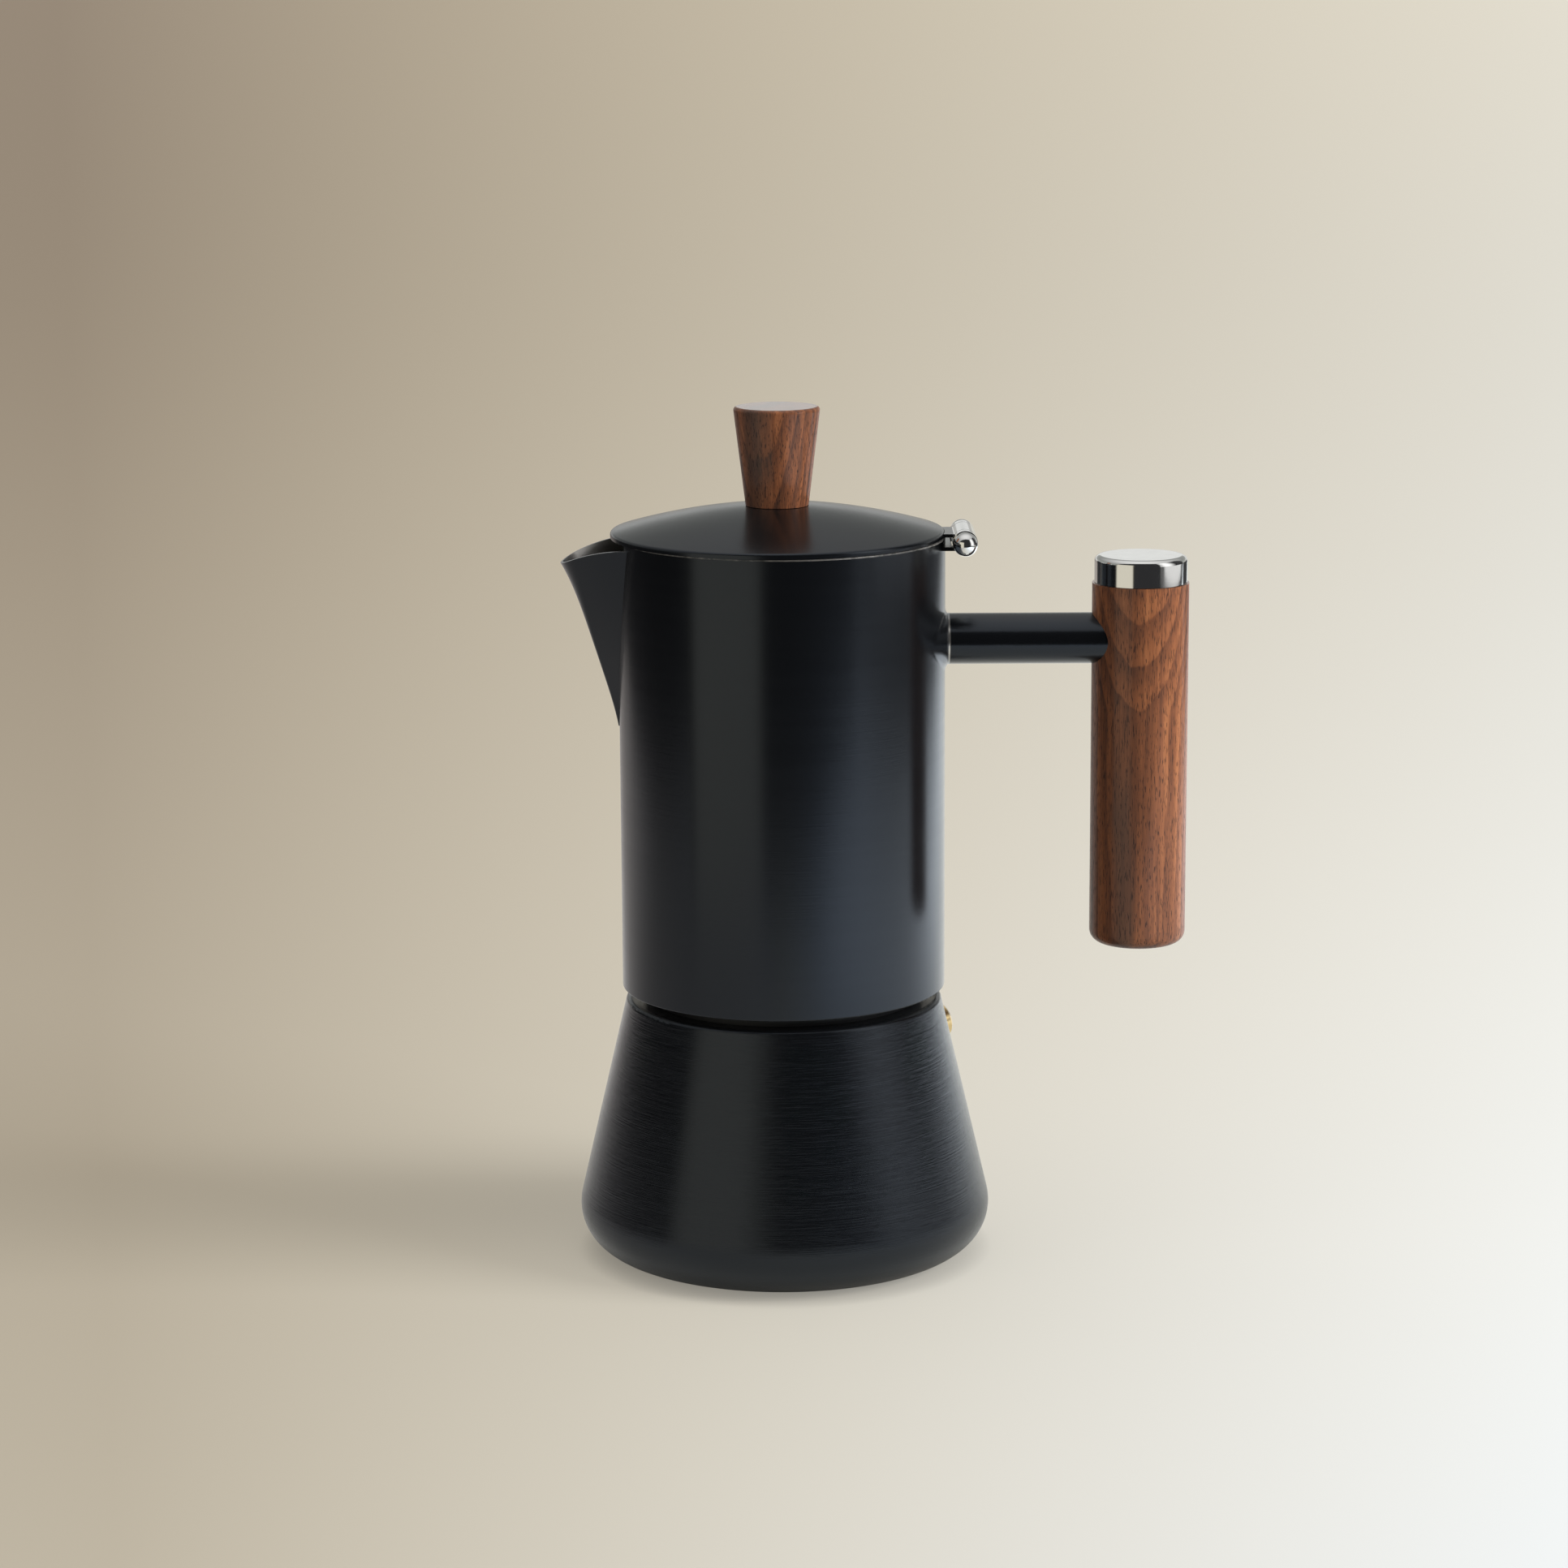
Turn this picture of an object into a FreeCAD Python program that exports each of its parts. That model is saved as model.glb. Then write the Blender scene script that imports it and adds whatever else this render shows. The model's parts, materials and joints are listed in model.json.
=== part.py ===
"""Stove-top moka pot: boiler, funnel, screw-on chamber, hinged lid and side handle.

Millimetres. +Z is up. The origin is on the pot's axis, on the surface it stands on.
The handle points along +X and the spout along -X.
"""

import FreeCAD, Part
import math
import os
import re
import Sketcher
from FreeCAD import Placement, Rotation, Vector

# ---------------------------------------------------------------- driving dimensions

SIZES = {
    # boiler; shoulder and neck are set in from the chamber's radius, the plate from the shoulder's
    "boiler_height": 67.0,
    "boiler_shoulder_inset": 1.1,
    "boiler_flare_angle": 13.2,
    "boiler_wall": 1.0,
    "boiler_foot_round": 11.6,
    "boiler_shoulder_round": 1.4,
    "boiler_foot_lift": 0.8,
    "base_plate_inset": 1.9,
    "base_plate_thickness": 3.0,
    # threaded neck
    "neck_inset": 6.0,
    "neck_wall": 2.4,
    "neck_height": 14.0,
    "neck_flange_width": 1.8,
    "neck_flange_thickness": 2.0,
    "thread_clearance": 0.3,
    # funnel and filters
    "funnel_wall": 0.7,
    "funnel_clearance": 0.4,
    "funnel_depth": 25.0,
    "funnel_cone_height": 11.0,
    "funnel_tube_radius": 5.0,
    "funnel_tube_gap": 6.0,
    "funnel_rim_inset": 0.4,
    "strainer_thickness": 0.7,
    "strainer_hole_radius": 0.75,
    "strainer_fit": 0.1,
    "strainer_lift": 0.5,
    "gasket_thickness": 2.1,
    "gasket_width": 6.0,
    "seat_gap": 0.1,
    # chamber
    "chamber_gap": 2.8,
    "chamber_radius": 41.0,
    "chamber_height": 114.7,
    "chamber_wall": 0.8,
    "chamber_foot_round": 0.35,
    "collar_wall": 2.0,
    "collar_foot": 1.5,
    "collar_recess": 0.5,
    "floor_thickness": 1.0,
    "floor_flat_width": 12.5,
    "floor_rise": 8.0,
    "column_foot_radius": 8.0,
    "column_top_radius": 5.4,
    "column_height": 66.0,
    "column_wall": 0.9,
    "column_slot_width": 4.0,
    "column_slot_height": 7.0,
    "column_slot_drop": 3.0,
    # spout, measured down from the chamber's rim
    "spout_wall": 0.8,
    "spout_height": 48.0,
    "spout_overhang": 15.2,
    "spout_root_depth": 5.0,
    "spout_half_width": 16.3,
    "spout_nose_radius": 10.5,
    "spout_nose_least": 0.25,
    "spout_tip_drop": 6.9,
    "spout_root_drop": 1.7,
    "spout_rim_bend": 38.0,
    "notch_depth": 41.5,
    "notch_half_width": 13.4,
    # lid
    "lid_overhang": 0.8,
    "lid_offset": 1.0,
    "lid_gap": 0.2,
    "lid_rim_height": 1.25,
    "lid_edge_round": 0.8,
    "lid_rise": 6.45,
    "lid_seat_radius": 6.5,
    "lid_crown_bend": 165.0,
    "lid_wall": 0.8,
    "lid_hem_width": 3.0,
    # knob
    "knob_height": 24.65,
    "knob_foot_radius": 7.9,
    "knob_top_radius": 10.9,
    "knob_top_round": 0.9,
    "knob_screw_radius": 2.0,
    "knob_screw_depth": 15.0,
    "knob_screw_head_radius": 3.8,
    "knob_screw_head_height": 2.4,
    "knob_washer_radius": 5.2,
    "knob_washer_thickness": 0.8,
    # hinge
    "hinge_overhang": 4.6,
    "hinge_drop": 0.7,
    "pin_radius": 2.1,
    "pin_clearance": 0.05,
    "knuckle_wall": 0.95,
    "leaf_width": 13.0,
    "leaf_thickness": 0.85,
    "knuckle_length": 3.0,
    "knuckle_gap": 0.3,
    "bracket_drop": 1.9,
    "bracket_thickness": 0.95,
    "pin_ball_radius": 2.8,
    "pin_ball_reach": 2.2,
    "pin_grip": 1.5,
    # handle, measured down from the chamber's rim
    "handle_drop": 26.2,
    "boss_height": 0.6,
    "boss_root_half_width": 20.0,
    "boss_root_half_height": 13.0,
    "boss_blend": 3.0,
    "tube_half_width": 8.5,
    "tube_half_height": 6.35,
    "tube_wall": 1.5,
    "tube_length": 48.4,
    "grip_radius": 12.15,
    "grip_drop": 78.2,
    "grip_rise": 14.1,
    "grip_foot_round": 3.2,
    "cap_gap": 0.1,
    "cap_radius": 11.65,
    "cap_height": 6.8,
    "cap_round": 1.5,
    "cap_spigot_radius": 2.6,
    "spigot_clearance": 0.6,
    "rod_radius": 4.2,
    "rod_length": 52.0,
    "rod_top_inset": 1.0,
    "screw_radius": 2.5,
    "screw_head_radius": 4.3,
    "screw_head_height": 2.6,
    "screw_tip_inset": 1.0,
    "washer_radius": 5.4,
    "washer_thickness": 0.9,
    "washer_gap": 0.45,
    # safety valve, measured down from the boiler's shoulder
    "valve_azimuth": 35.0,
    "valve_drop": 16.0,
    "valve_across": 11.0,
    "valve_hex_height": 3.5,
    "valve_barrel_radius": 4.9,
    "valve_barrel_height": 3.0,
    "valve_chamfer": 0.7,
    "valve_shank_radius": 3.8,
    "valve_shank_length": 8.0,
    "valve_bore_radius": 2.8,
    "valve_end_wall": 1.5,
    "valve_stem_radius": 1.3,
    "valve_stem_proud": 1.0,
    "valve_stem_clearance": 0.08,
    "valve_disc_radius": 2.4,
    "valve_disc_thickness": 1.0,
    "valve_seat_thickness": 1.0,
    "valve_seat_radius": 1.8,
    "valve_washer_thickness": 0.8,
    "valve_nut_thickness": 3.0,
    "valve_nut_gap": 0.5,
    "valve_spring_wire": 0.25,
    "valve_spring_radius": 2.0,
    "valve_spring_turns": 5.0,
}

# Places and sizes that follow from the driving dimensions.
PLACES = {
    "boiler_shoulder_radius": "chamber_radius - boiler_shoulder_inset",
    "base_plate_radius": "boiler_shoulder_radius - base_plate_inset",
    "flank_slope": "tan(boiler_flare_angle)",
    "foot_corner_radius": "boiler_shoulder_radius + flank_slope * (boiler_height - boiler_foot_lift)",
    "inner_shoulder_z": "boiler_height - boiler_wall",
    "inner_floor_z": "boiler_foot_lift + boiler_wall",
    "flank_inset": "boiler_wall / cos(boiler_flare_angle)",
    "inner_shoulder_radius": "boiler_shoulder_radius - flank_inset + flank_slope * boiler_wall",
    "inner_foot_radius": "boiler_shoulder_radius - flank_inset + flank_slope * (boiler_height - inner_floor_z)",
    "plate_pocket_radius": "base_plate_radius + strainer_fit",
    "neck_radius": "chamber_radius - neck_inset",
    "neck_bore": "neck_radius - neck_wall",
    "neck_top_z": "boiler_height + neck_height",
    "funnel_radius": "neck_bore - funnel_clearance",
    "funnel_rim_z": "neck_top_z + funnel_wall",
    "basket_floor_z": "neck_top_z - funnel_depth",
    "cone_foot_z": "basket_floor_z - funnel_cone_height",
    "tube_foot_z": "base_plate_thickness + boiler_wall + funnel_tube_gap",
    "gasket_z": "funnel_rim_z + seat_gap",
    "gasket_bore": "neck_radius - gasket_width",
    "gasket_top_z": "gasket_z + gasket_thickness",
    "chamber_floor_z": "gasket_top_z + seat_gap",
    "chamber_foot_z": "boiler_height + chamber_gap",
    "chamber_rim_z": "chamber_foot_z + chamber_height",
    "chamber_bore": "chamber_radius - chamber_wall",
    "collar_bore": "neck_radius + thread_clearance",
    "collar_foot_z": "chamber_foot_z + collar_recess",
    "floor_flat_radius": "chamber_bore - floor_flat_width",
    "column_foot_z": "chamber_floor_z + floor_rise - floor_thickness",
    "column_top_z": "column_foot_z + column_height",
    "lid_radius": "chamber_radius + lid_overhang",
    "lid_foot_z": "chamber_rim_z + lid_gap",
    "lid_corner_z": "lid_foot_z + lid_rim_height",
    "lid_seat_z": "lid_corner_z + lid_rise",
    "spout_foot_z": "chamber_rim_z - spout_height",
    "spout_back": "chamber_radius - spout_root_depth",
    "spout_reach": "chamber_radius + spout_overhang",
    "spout_tip_z": "chamber_rim_z - spout_tip_drop",
    "spout_root_z": "chamber_rim_z - spout_root_drop",
    "notch_foot_z": "chamber_rim_z - notch_depth",
    "hinge_reach": "chamber_radius + hinge_overhang",
    "hinge_z": "chamber_rim_z - hinge_drop",
    "knuckle_radius": "pin_radius + pin_clearance + knuckle_wall",
    "bracket_half_width": "leaf_width / 2 + knuckle_gap + knuckle_length",
    "handle_z": "chamber_rim_z - handle_drop",
    "boss_face": "chamber_radius + boss_height",
    "boss_root_reach": "sqrt(chamber_radius ^ 2 - boss_root_half_width ^ 2)",
    "handle_reach": "boss_face + tube_length",
    "grip_foot_z": "handle_z - grip_drop",
    "grip_top_z": "handle_z + grip_rise",
    "cap_foot_z": "grip_top_z + cap_gap",
    "spigot_foot_z": "handle_z + screw_radius + spigot_clearance",
    "rod_top_z": "grip_top_z - rod_top_inset",
    "valve_z": "boiler_height - valve_drop",
    "valve_wall_radius": "boiler_shoulder_radius + flank_slope * (boiler_height - valve_z)",
    "valve_hex_top": "valve_washer_thickness + valve_hex_height",
    "valve_top": "valve_hex_top + valve_barrel_height",
    "valve_seat_top": "valve_seat_thickness - valve_shank_length",
    "valve_disc_top": "valve_seat_top + valve_disc_thickness",
}

doc = FreeCAD.newDocument("MokaPot")
sheet = doc.addObject("Spreadsheet::Sheet", "Sizes")
for row, (name, number) in enumerate(SIZES.items(), 1):
    sheet.set("A%d" % row, name)
    sheet.set("B%d" % row, repr(number))
    sheet.setAlias("B%d" % row, name)
doc.recompute()

PIECES = []


# ---------------------------------------------------------------- rules and drawing


def rule(text):
    """A formula in the sheet's cells, from one written in the plain names above."""

    def word(match):
        name = match.group(0)
        if name in SIZES:
            return "Sizes." + name
        if name in PLACES:
            return "(" + rule(PLACES[name]) + ")"
        return name

    return re.sub(r"[a-z][a-z_]+", word, text)


def size(text):
    """The present value of such a formula."""
    return float(sheet.evalExpression(rule(text)))


def piece(label, shape):
    """Names an object as one of the pot's pieces."""
    shape.Label = label
    PIECES.append(shape)
    return shape


def new_body(label, across="0", depth="0", up="0", turn=0):
    """A body for one piece, moved to its place by the sheet."""
    made = doc.addObject("PartDesign::Body", label)
    made.Placement = Placement(Vector(), Rotation(Vector(0, 0, 1), turn))
    for axis, text in (("x", across), ("y", depth), ("z", up)):
        if text != "0":
            made.setExpression("Placement.Base." + axis, rule(text))
    return piece(label, made)


def sketch_on(body, name, role="XZ_Plane", lift=None, placed=None):
    """An empty sketch on one of the body's own planes, lifted off it or placed from it."""
    sketch = body.newObject("Sketcher::SketchObject", name)
    plane = [item for item in body.Origin.OriginFeatures if item.Role == role][0]
    sketch.AttachmentSupport = [(plane, "")]
    sketch.MapMode = "FlatFace"
    if placed is not None:
        sketch.AttachmentOffset = placed
    if lift is not None:
        sketch.setExpression("AttachmentOffset.Base.z", rule(lift))
    return sketch


def hold(sketch, geometry, end, across, up):
    """Fixes a point of a sketch at two formulas."""
    for kind, axis, text in (("DistanceX", -2, across), ("DistanceY", -1, up)):
        if text == "0":
            sketch.addConstraint(Sketcher.Constraint("PointOnObject", geometry, end, axis))
        else:
            row = sketch.addConstraint(
                Sketcher.Constraint(kind, -1, 1, geometry, end, size(text))
            )
            sketch.setExpression("Constraints[%d]" % row, rule(text))


def arc_between(start, end, bend):
    """The short arc of radius |bend|; a positive bend turns left on the way to end."""
    chord = end - start
    half = chord.Length / 2
    rise = math.sqrt(bend * bend - half * half)
    side = Vector(-chord.y, chord.x, 0).normalize() * math.copysign(rise, bend)
    centre = (start + end) / 2 + side
    first, last = (start, end) if bend > 0 else (end, start)
    angles = [math.atan2(p.y - centre.y, p.x - centre.x) for p in (first, last)]
    if angles[1] < angles[0]:
        angles[1] += 2 * math.pi
    circle = Part.Circle(centre, Vector(0, 0, 1), abs(bend))
    return Part.ArcOfCircle(circle, angles[0], angles[1])


def outline(sketch, corners):
    """A closed outline. A corner is (across, up) or (across, up, bend of the edge that follows)."""
    points = [Vector(size(corner[0]), size(corner[1]), 0) for corner in corners]
    first = sketch.GeometryCount
    ends = []
    for row, corner in enumerate(corners):
        start, end = points[row], points[(row + 1) % len(points)]
        if len(corner) == 2:
            sketch.addGeometry(Part.LineSegment(start, end), False)
            ends.append((1, 2))
        else:
            bend = size(corner[2])
            sketch.addGeometry(arc_between(start, end, bend), False)
            ends.append((1, 2) if bend > 0 else (2, 1))
            limit = sketch.addConstraint(Sketcher.Constraint("Radius", first + row, abs(bend)))
            sketch.setExpression("Constraints[%d]" % limit, "abs(%s)" % rule(corner[2]))
    for row in range(len(corners)):
        after = (row + 1) % len(corners)
        sketch.addConstraint(
            Sketcher.Constraint(
                "Coincident", first + row, ends[row][1], first + after, ends[after][0]
            )
        )
        hold(sketch, first + row, ends[row][0], *corners[row][:2])


def ring(sketch, radius, across="0", up="0"):
    """A circle of a sketch."""
    centre = Vector(size(across), size(up), 0)
    row = sketch.addGeometry(Part.Circle(centre, Vector(0, 0, 1), size(radius)), False)
    limit = sketch.addConstraint(Sketcher.Constraint("Radius", row, size(radius)))
    sketch.setExpression("Constraints[%d]" % limit, rule(radius))
    hold(sketch, row, 3, across, up)


def oval(sketch, half_width, half_height):
    """An ellipse about the sketch's origin, wider along the sketch's X."""
    wide, tall = size(half_width), size(half_height)
    shape = Part.Ellipse(Vector(wide, 0, 0), Vector(0, tall, 0), Vector(0, 0, 0))
    row = sketch.addGeometry(shape, False)
    sketch.exposeInternalGeometry(row)
    sketch.addConstraint(Sketcher.Constraint("Coincident", row, 3, -1, 1))
    sketch.addConstraint(Sketcher.Constraint("Horizontal", row + 1))
    for line, text in ((row + 1, half_width), (row + 2, half_height)):
        limit = sketch.addConstraint(Sketcher.Constraint("Distance", line, 2 * size(text)))
        sketch.setExpression("Constraints[%d]" % limit, "2 * (%s)" % rule(text))


# ---------------------------------------------------------------- features


def turned(body, corners):
    """Spins an outline about the body's Z axis."""
    sketch = sketch_on(body, body.Label + "_profile")
    outline(sketch, corners)
    feature = body.newObject("PartDesign::Revolution", body.Label + "_turned")
    feature.Profile = sketch
    feature.ReferenceAxis = (sketch, ["V_Axis"])
    feature.Angle = 360
    body.Tip = feature
    return feature


def pressed(body, kind, sketch, length, midplane=False, reverse=False):
    """A Pad or Pocket of a sketch to a length given by the sheet."""
    feature = body.newObject("PartDesign::" + kind, sketch.Name + "_" + kind.lower())
    feature.Profile = sketch
    feature.setExpression("Length", rule(length))
    feature.Midplane = midplane
    feature.Reversed = reverse
    body.Tip = feature
    return feature


def softened(body, name, radius, rings):
    """Rounds the circular edges found at the given (radius, height) pairs."""
    doc.recompute()
    base = body.Tip
    picked = []
    for row, edge in enumerate(base.Shape.Edges, 1):
        if edge.Curve.TypeId != "Part::GeomCircle":
            continue
        for edge_radius, height in rings:
            near = abs(edge.Curve.Radius - size(edge_radius)) < 1e-3
            if near and abs(edge.Curve.Center.z - size(height)) < 1e-3:
                picked.append("Edge%d" % row)
    feature = body.newObject("PartDesign::Fillet", name)
    feature.Base = (base, picked)
    feature.setExpression("Radius", rule(radius))
    body.Tip = feature


def polar_holes(body, rows, plate_radius, radius, depth_z, thickness):
    """Rings of holes through a flat plate: rows gives (share of the plate's radius, count)."""
    for number, (share, count) in enumerate(rows):
        sketch = sketch_on(body, "%s_hole_%d" % (body.Label, number), "XY_Plane", lift=depth_z)
        ring(sketch, radius, across="%g * (%s)" % (share, plate_radius))
        cut = pressed(body, "Pocket", sketch, "3 * " + thickness, midplane=True)
        pattern = body.newObject("PartDesign::PolarPattern", sketch.Name + "_ring")
        pattern.Originals = [cut]
        pattern.Axis = (sketch, ["N_Axis"])
        pattern.Angle = 360
        pattern.Occurrences = count
        body.Tip = pattern


# ---------------------------------------------------------------- boiler


def make_boiler():
    """Drawn shell: conical flank, large foot round, flat shoulder and a recess for the plate."""
    body = new_body("boiler")
    turned(
        body,
        [
            ("0", "base_plate_thickness"),
            ("plate_pocket_radius", "base_plate_thickness"),
            ("plate_pocket_radius", "boiler_foot_lift"),
            ("foot_corner_radius", "boiler_foot_lift"),
            ("boiler_shoulder_radius", "boiler_height"),
            ("neck_radius", "boiler_height"),
            ("neck_radius", "inner_shoulder_z"),
            ("inner_shoulder_radius", "inner_shoulder_z"),
            ("inner_foot_radius", "inner_floor_z"),
            ("plate_pocket_radius + boiler_wall", "inner_floor_z"),
            ("plate_pocket_radius + boiler_wall", "base_plate_thickness + boiler_wall"),
            ("0", "base_plate_thickness + boiler_wall"),
        ],
    )
    softened(body, "boiler_foot", "boiler_foot_round", [("foot_corner_radius", "boiler_foot_lift")])
    softened(
        body,
        "boiler_foot_inside",
        "boiler_foot_round - boiler_wall",
        [("inner_foot_radius", "inner_floor_z")],
    )
    softened(
        body,
        "boiler_shoulder",
        "boiler_shoulder_round",
        [("boiler_shoulder_radius", "boiler_height")],
    )
    hole = sketch_on(body, "boiler_valve_hole", "XY_Plane", placed=valve_place())
    ring(hole, "valve_shank_radius")
    pressed(body, "Pocket", hole, "12 * boiler_wall", midplane=True)


def make_base_plate():
    """Heat-spreading disc let into the boiler's underside; the pot stands on it."""
    body = new_body("base_plate")
    turned(
        body,
        [
            ("0", "0"),
            ("base_plate_radius", "0"),
            ("base_plate_radius", "base_plate_thickness"),
            ("0", "base_plate_thickness"),
        ],
    )


def make_neck():
    """Threaded ring welded into the boiler's shoulder; its top rim is the sealing face."""
    flange = "neck_radius + neck_flange_width"
    flange_foot = "inner_shoulder_z - neck_flange_thickness"
    body = new_body("boiler_neck")
    turned(
        body,
        [
            ("neck_bore", flange_foot),
            (flange, flange_foot),
            (flange, "inner_shoulder_z"),
            ("neck_radius", "inner_shoulder_z"),
            ("neck_radius", "neck_top_z"),
            ("neck_bore", "neck_top_z"),
        ],
    )


# ---------------------------------------------------------------- safety valve


def valve_place():
    """Local Z of the valve leaves the flank at a right angle."""
    azimuth = math.radians(size("valve_azimuth"))
    lean = math.radians(size("boiler_flare_angle"))
    reach = size("valve_wall_radius")
    outward = Vector(
        math.cos(lean) * math.cos(azimuth), math.cos(lean) * math.sin(azimuth), math.sin(lean)
    )
    foot = Vector(reach * math.cos(azimuth), reach * math.sin(azimuth), size("valve_z"))
    return Placement(foot, Rotation(Vector(0, 0, 1), outward))


def rod(name, radius, foot, length):
    """A cylinder primitive along local Z."""
    made = doc.addObject("Part::Cylinder", name)
    made.setExpression("Radius", rule(radius))
    made.setExpression("Height", rule(length))
    made.setExpression("Placement.Base.z", rule(foot))
    return made


def hexagon(name, across, foot, length):
    """A six-sided prism primitive of a size across its flats."""
    made = doc.addObject("Part::Prism", name)
    made.Polygon = 6
    made.setExpression("Circumradius", rule("%s / 2 / cos(30)" % across))
    made.setExpression("Height", rule(length))
    made.setExpression("Placement.Base.z", rule(foot))
    return made


def cone(name, foot_radius, top_radius, foot, length):
    """A cone primitive along local Z."""
    made = doc.addObject("Part::Cone", name)
    made.setExpression("Radius1", rule(foot_radius))
    made.setExpression("Radius2", rule(top_radius))
    made.setExpression("Height", rule(length))
    made.setExpression("Placement.Base.z", rule(foot))
    return made


def joined(name, shapes):
    made = doc.addObject("Part::MultiFuse", name)
    made.Shapes = shapes
    return made


def drilled(name, base, tools):
    made = doc.addObject("Part::Cut", name)
    made.Base = base
    made.Tool = tools[0] if len(tools) == 1 else joined(name + "_tools", tools)
    return made


def make_valve():
    """Brass safety valve: pressure lifts the disc off its seat against the spring."""
    place = valve_place()
    foot = "valve_washer_thickness"
    nut_face = doc.addObject("Part::MultiCommon", "valve_nut_face")
    nut_face.Shapes = [
        hexagon("valve_hex", "valve_across", foot, "valve_hex_height"),
        cone("valve_hex_corners", "valve_across / 2 + 1.73 * valve_hex_height",
             "valve_across / 2", foot, "valve_hex_height"),
    ]
    barrel_side = "valve_barrel_height - valve_chamfer"
    outside = joined(
        "valve_outside",
        [
            rod("valve_shank", "valve_shank_radius", "-valve_shank_length",
                "valve_shank_length + valve_hex_top"),
            nut_face,
            rod("valve_barrel", "valve_barrel_radius", "valve_hex_top", barrel_side),
            cone("valve_barrel_end", "valve_barrel_radius", "valve_barrel_radius - valve_chamfer",
                 "valve_top - valve_chamfer", "valve_chamfer"),
        ],
    )
    bore_length = "valve_shank_length + valve_top - valve_end_wall"
    guide = "valve_stem_radius + valve_stem_clearance"
    vent_z = "valve_hex_top + valve_stem_radius"
    vent = rod("valve_vent", "valve_stem_radius / 2", "-valve_across", "2 * valve_across")
    vent.Placement = Placement(Vector(0, 0, 0), Rotation(Vector(0, 1, 0), 90))
    vent.setExpression("Placement.Base.x", rule("-valve_across"))
    vent.setExpression("Placement.Base.z", rule(vent_z))
    made = drilled(
        "valve_body",
        outside,
        [
            rod("valve_bore", "valve_bore_radius", "-valve_shank_length", bore_length),
            rod("valve_guide", guide, "0", "2 * valve_top"),
            vent,
        ],
    )
    piece("valve_body", made).Placement = place

    washer = drilled(
        "valve_washer",
        rod("valve_washer_disc", "valve_across / 2", "0", "valve_washer_thickness"),
        [rod("valve_washer_hole", "valve_shank_radius", "0", "valve_washer_thickness")],
    )
    piece("valve_washer", washer).Placement = place

    nut_foot = "-(boiler_wall + valve_nut_gap + valve_nut_thickness)"
    nut = drilled(
        "valve_nut",
        hexagon("valve_nut_hex", "valve_across", nut_foot, "valve_nut_thickness"),
        [rod("valve_nut_hole", "valve_shank_radius", nut_foot, "valve_nut_thickness")],
    )
    piece("valve_nut", nut).Placement = place

    seat = drilled(
        "valve_seat",
        rod("valve_seat_ring", "valve_bore_radius", "-valve_shank_length", "valve_seat_thickness"),
        [rod("valve_seat_hole", "valve_seat_radius", "-valve_shank_length",
             "valve_seat_thickness")],
    )
    piece("valve_seat", seat).Placement = place

    stem = joined(
        "valve_stem",
        [
            rod("valve_disc", "valve_disc_radius", "valve_seat_top", "valve_disc_thickness"),
            rod("valve_spindle", "valve_stem_radius", "valve_seat_top",
                "valve_top + valve_stem_proud - valve_seat_top"),
        ],
    )
    piece("valve_stem", stem).Placement = place

    spring = new_body("valve_spring")
    wire = sketch_on(spring, "valve_spring_wire_section")
    ring(wire, "valve_spring_wire", "valve_spring_radius", "valve_disc_top + valve_spring_wire")
    coil = spring.newObject("PartDesign::AdditiveHelix", "valve_spring_coil")
    coil.Profile = wire
    coil.ReferenceAxis = (wire, ["V_Axis"])
    coil.Mode = "height-turns-angle"
    coil.Angle = 0
    coil.setExpression(
        "Height", rule("valve_top - valve_end_wall - valve_disc_top - 2 * valve_spring_wire")
    )
    coil.setExpression("Turns", rule("valve_spring_turns"))
    spring.Tip = coil
    spring.Placement = place


# ---------------------------------------------------------------- funnel, filters and gasket


def make_funnel():
    """Coffee basket, cone and dip tube, spun from one sheet, hung by its rim on the neck."""
    inner = "funnel_radius - funnel_wall"
    rim = "neck_radius - funnel_rim_inset"
    tube_bore = "funnel_tube_radius - funnel_wall"
    body = new_body("funnel")
    turned(
        body,
        [
            ("funnel_tube_radius", "tube_foot_z"),
            ("funnel_tube_radius", "cone_foot_z"),
            ("funnel_radius", "basket_floor_z"),
            ("funnel_radius", "neck_top_z"),
            (rim, "neck_top_z"),
            (rim, "funnel_rim_z"),
            (inner, "funnel_rim_z"),
            (inner, "basket_floor_z"),
            (tube_bore, "cone_foot_z"),
            (tube_bore, "tube_foot_z"),
        ],
    )


def make_strainer(label, radius, foot):
    """A flat perforated disc."""
    rows = [(0.28, 8), (0.54, 16), (0.8, 24)]
    body = new_body(label)
    turned(
        body,
        [
            ("0", foot),
            (radius, foot),
            (radius, foot + " + strainer_thickness"),
            ("0", foot + " + strainer_thickness"),
        ],
    )
    polar_holes(body, rows, radius, "strainer_hole_radius", foot, "strainer_thickness")


def make_gasket():
    """Silicone ring pressed between the funnel's rim and the chamber's floor."""
    body = new_body("gasket")
    turned(
        body,
        [
            ("gasket_bore", "gasket_z"),
            ("neck_radius", "gasket_z"),
            ("neck_radius", "gasket_top_z"),
            ("gasket_bore", "gasket_top_z"),
        ],
    )


# ---------------------------------------------------------------- chamber


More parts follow.
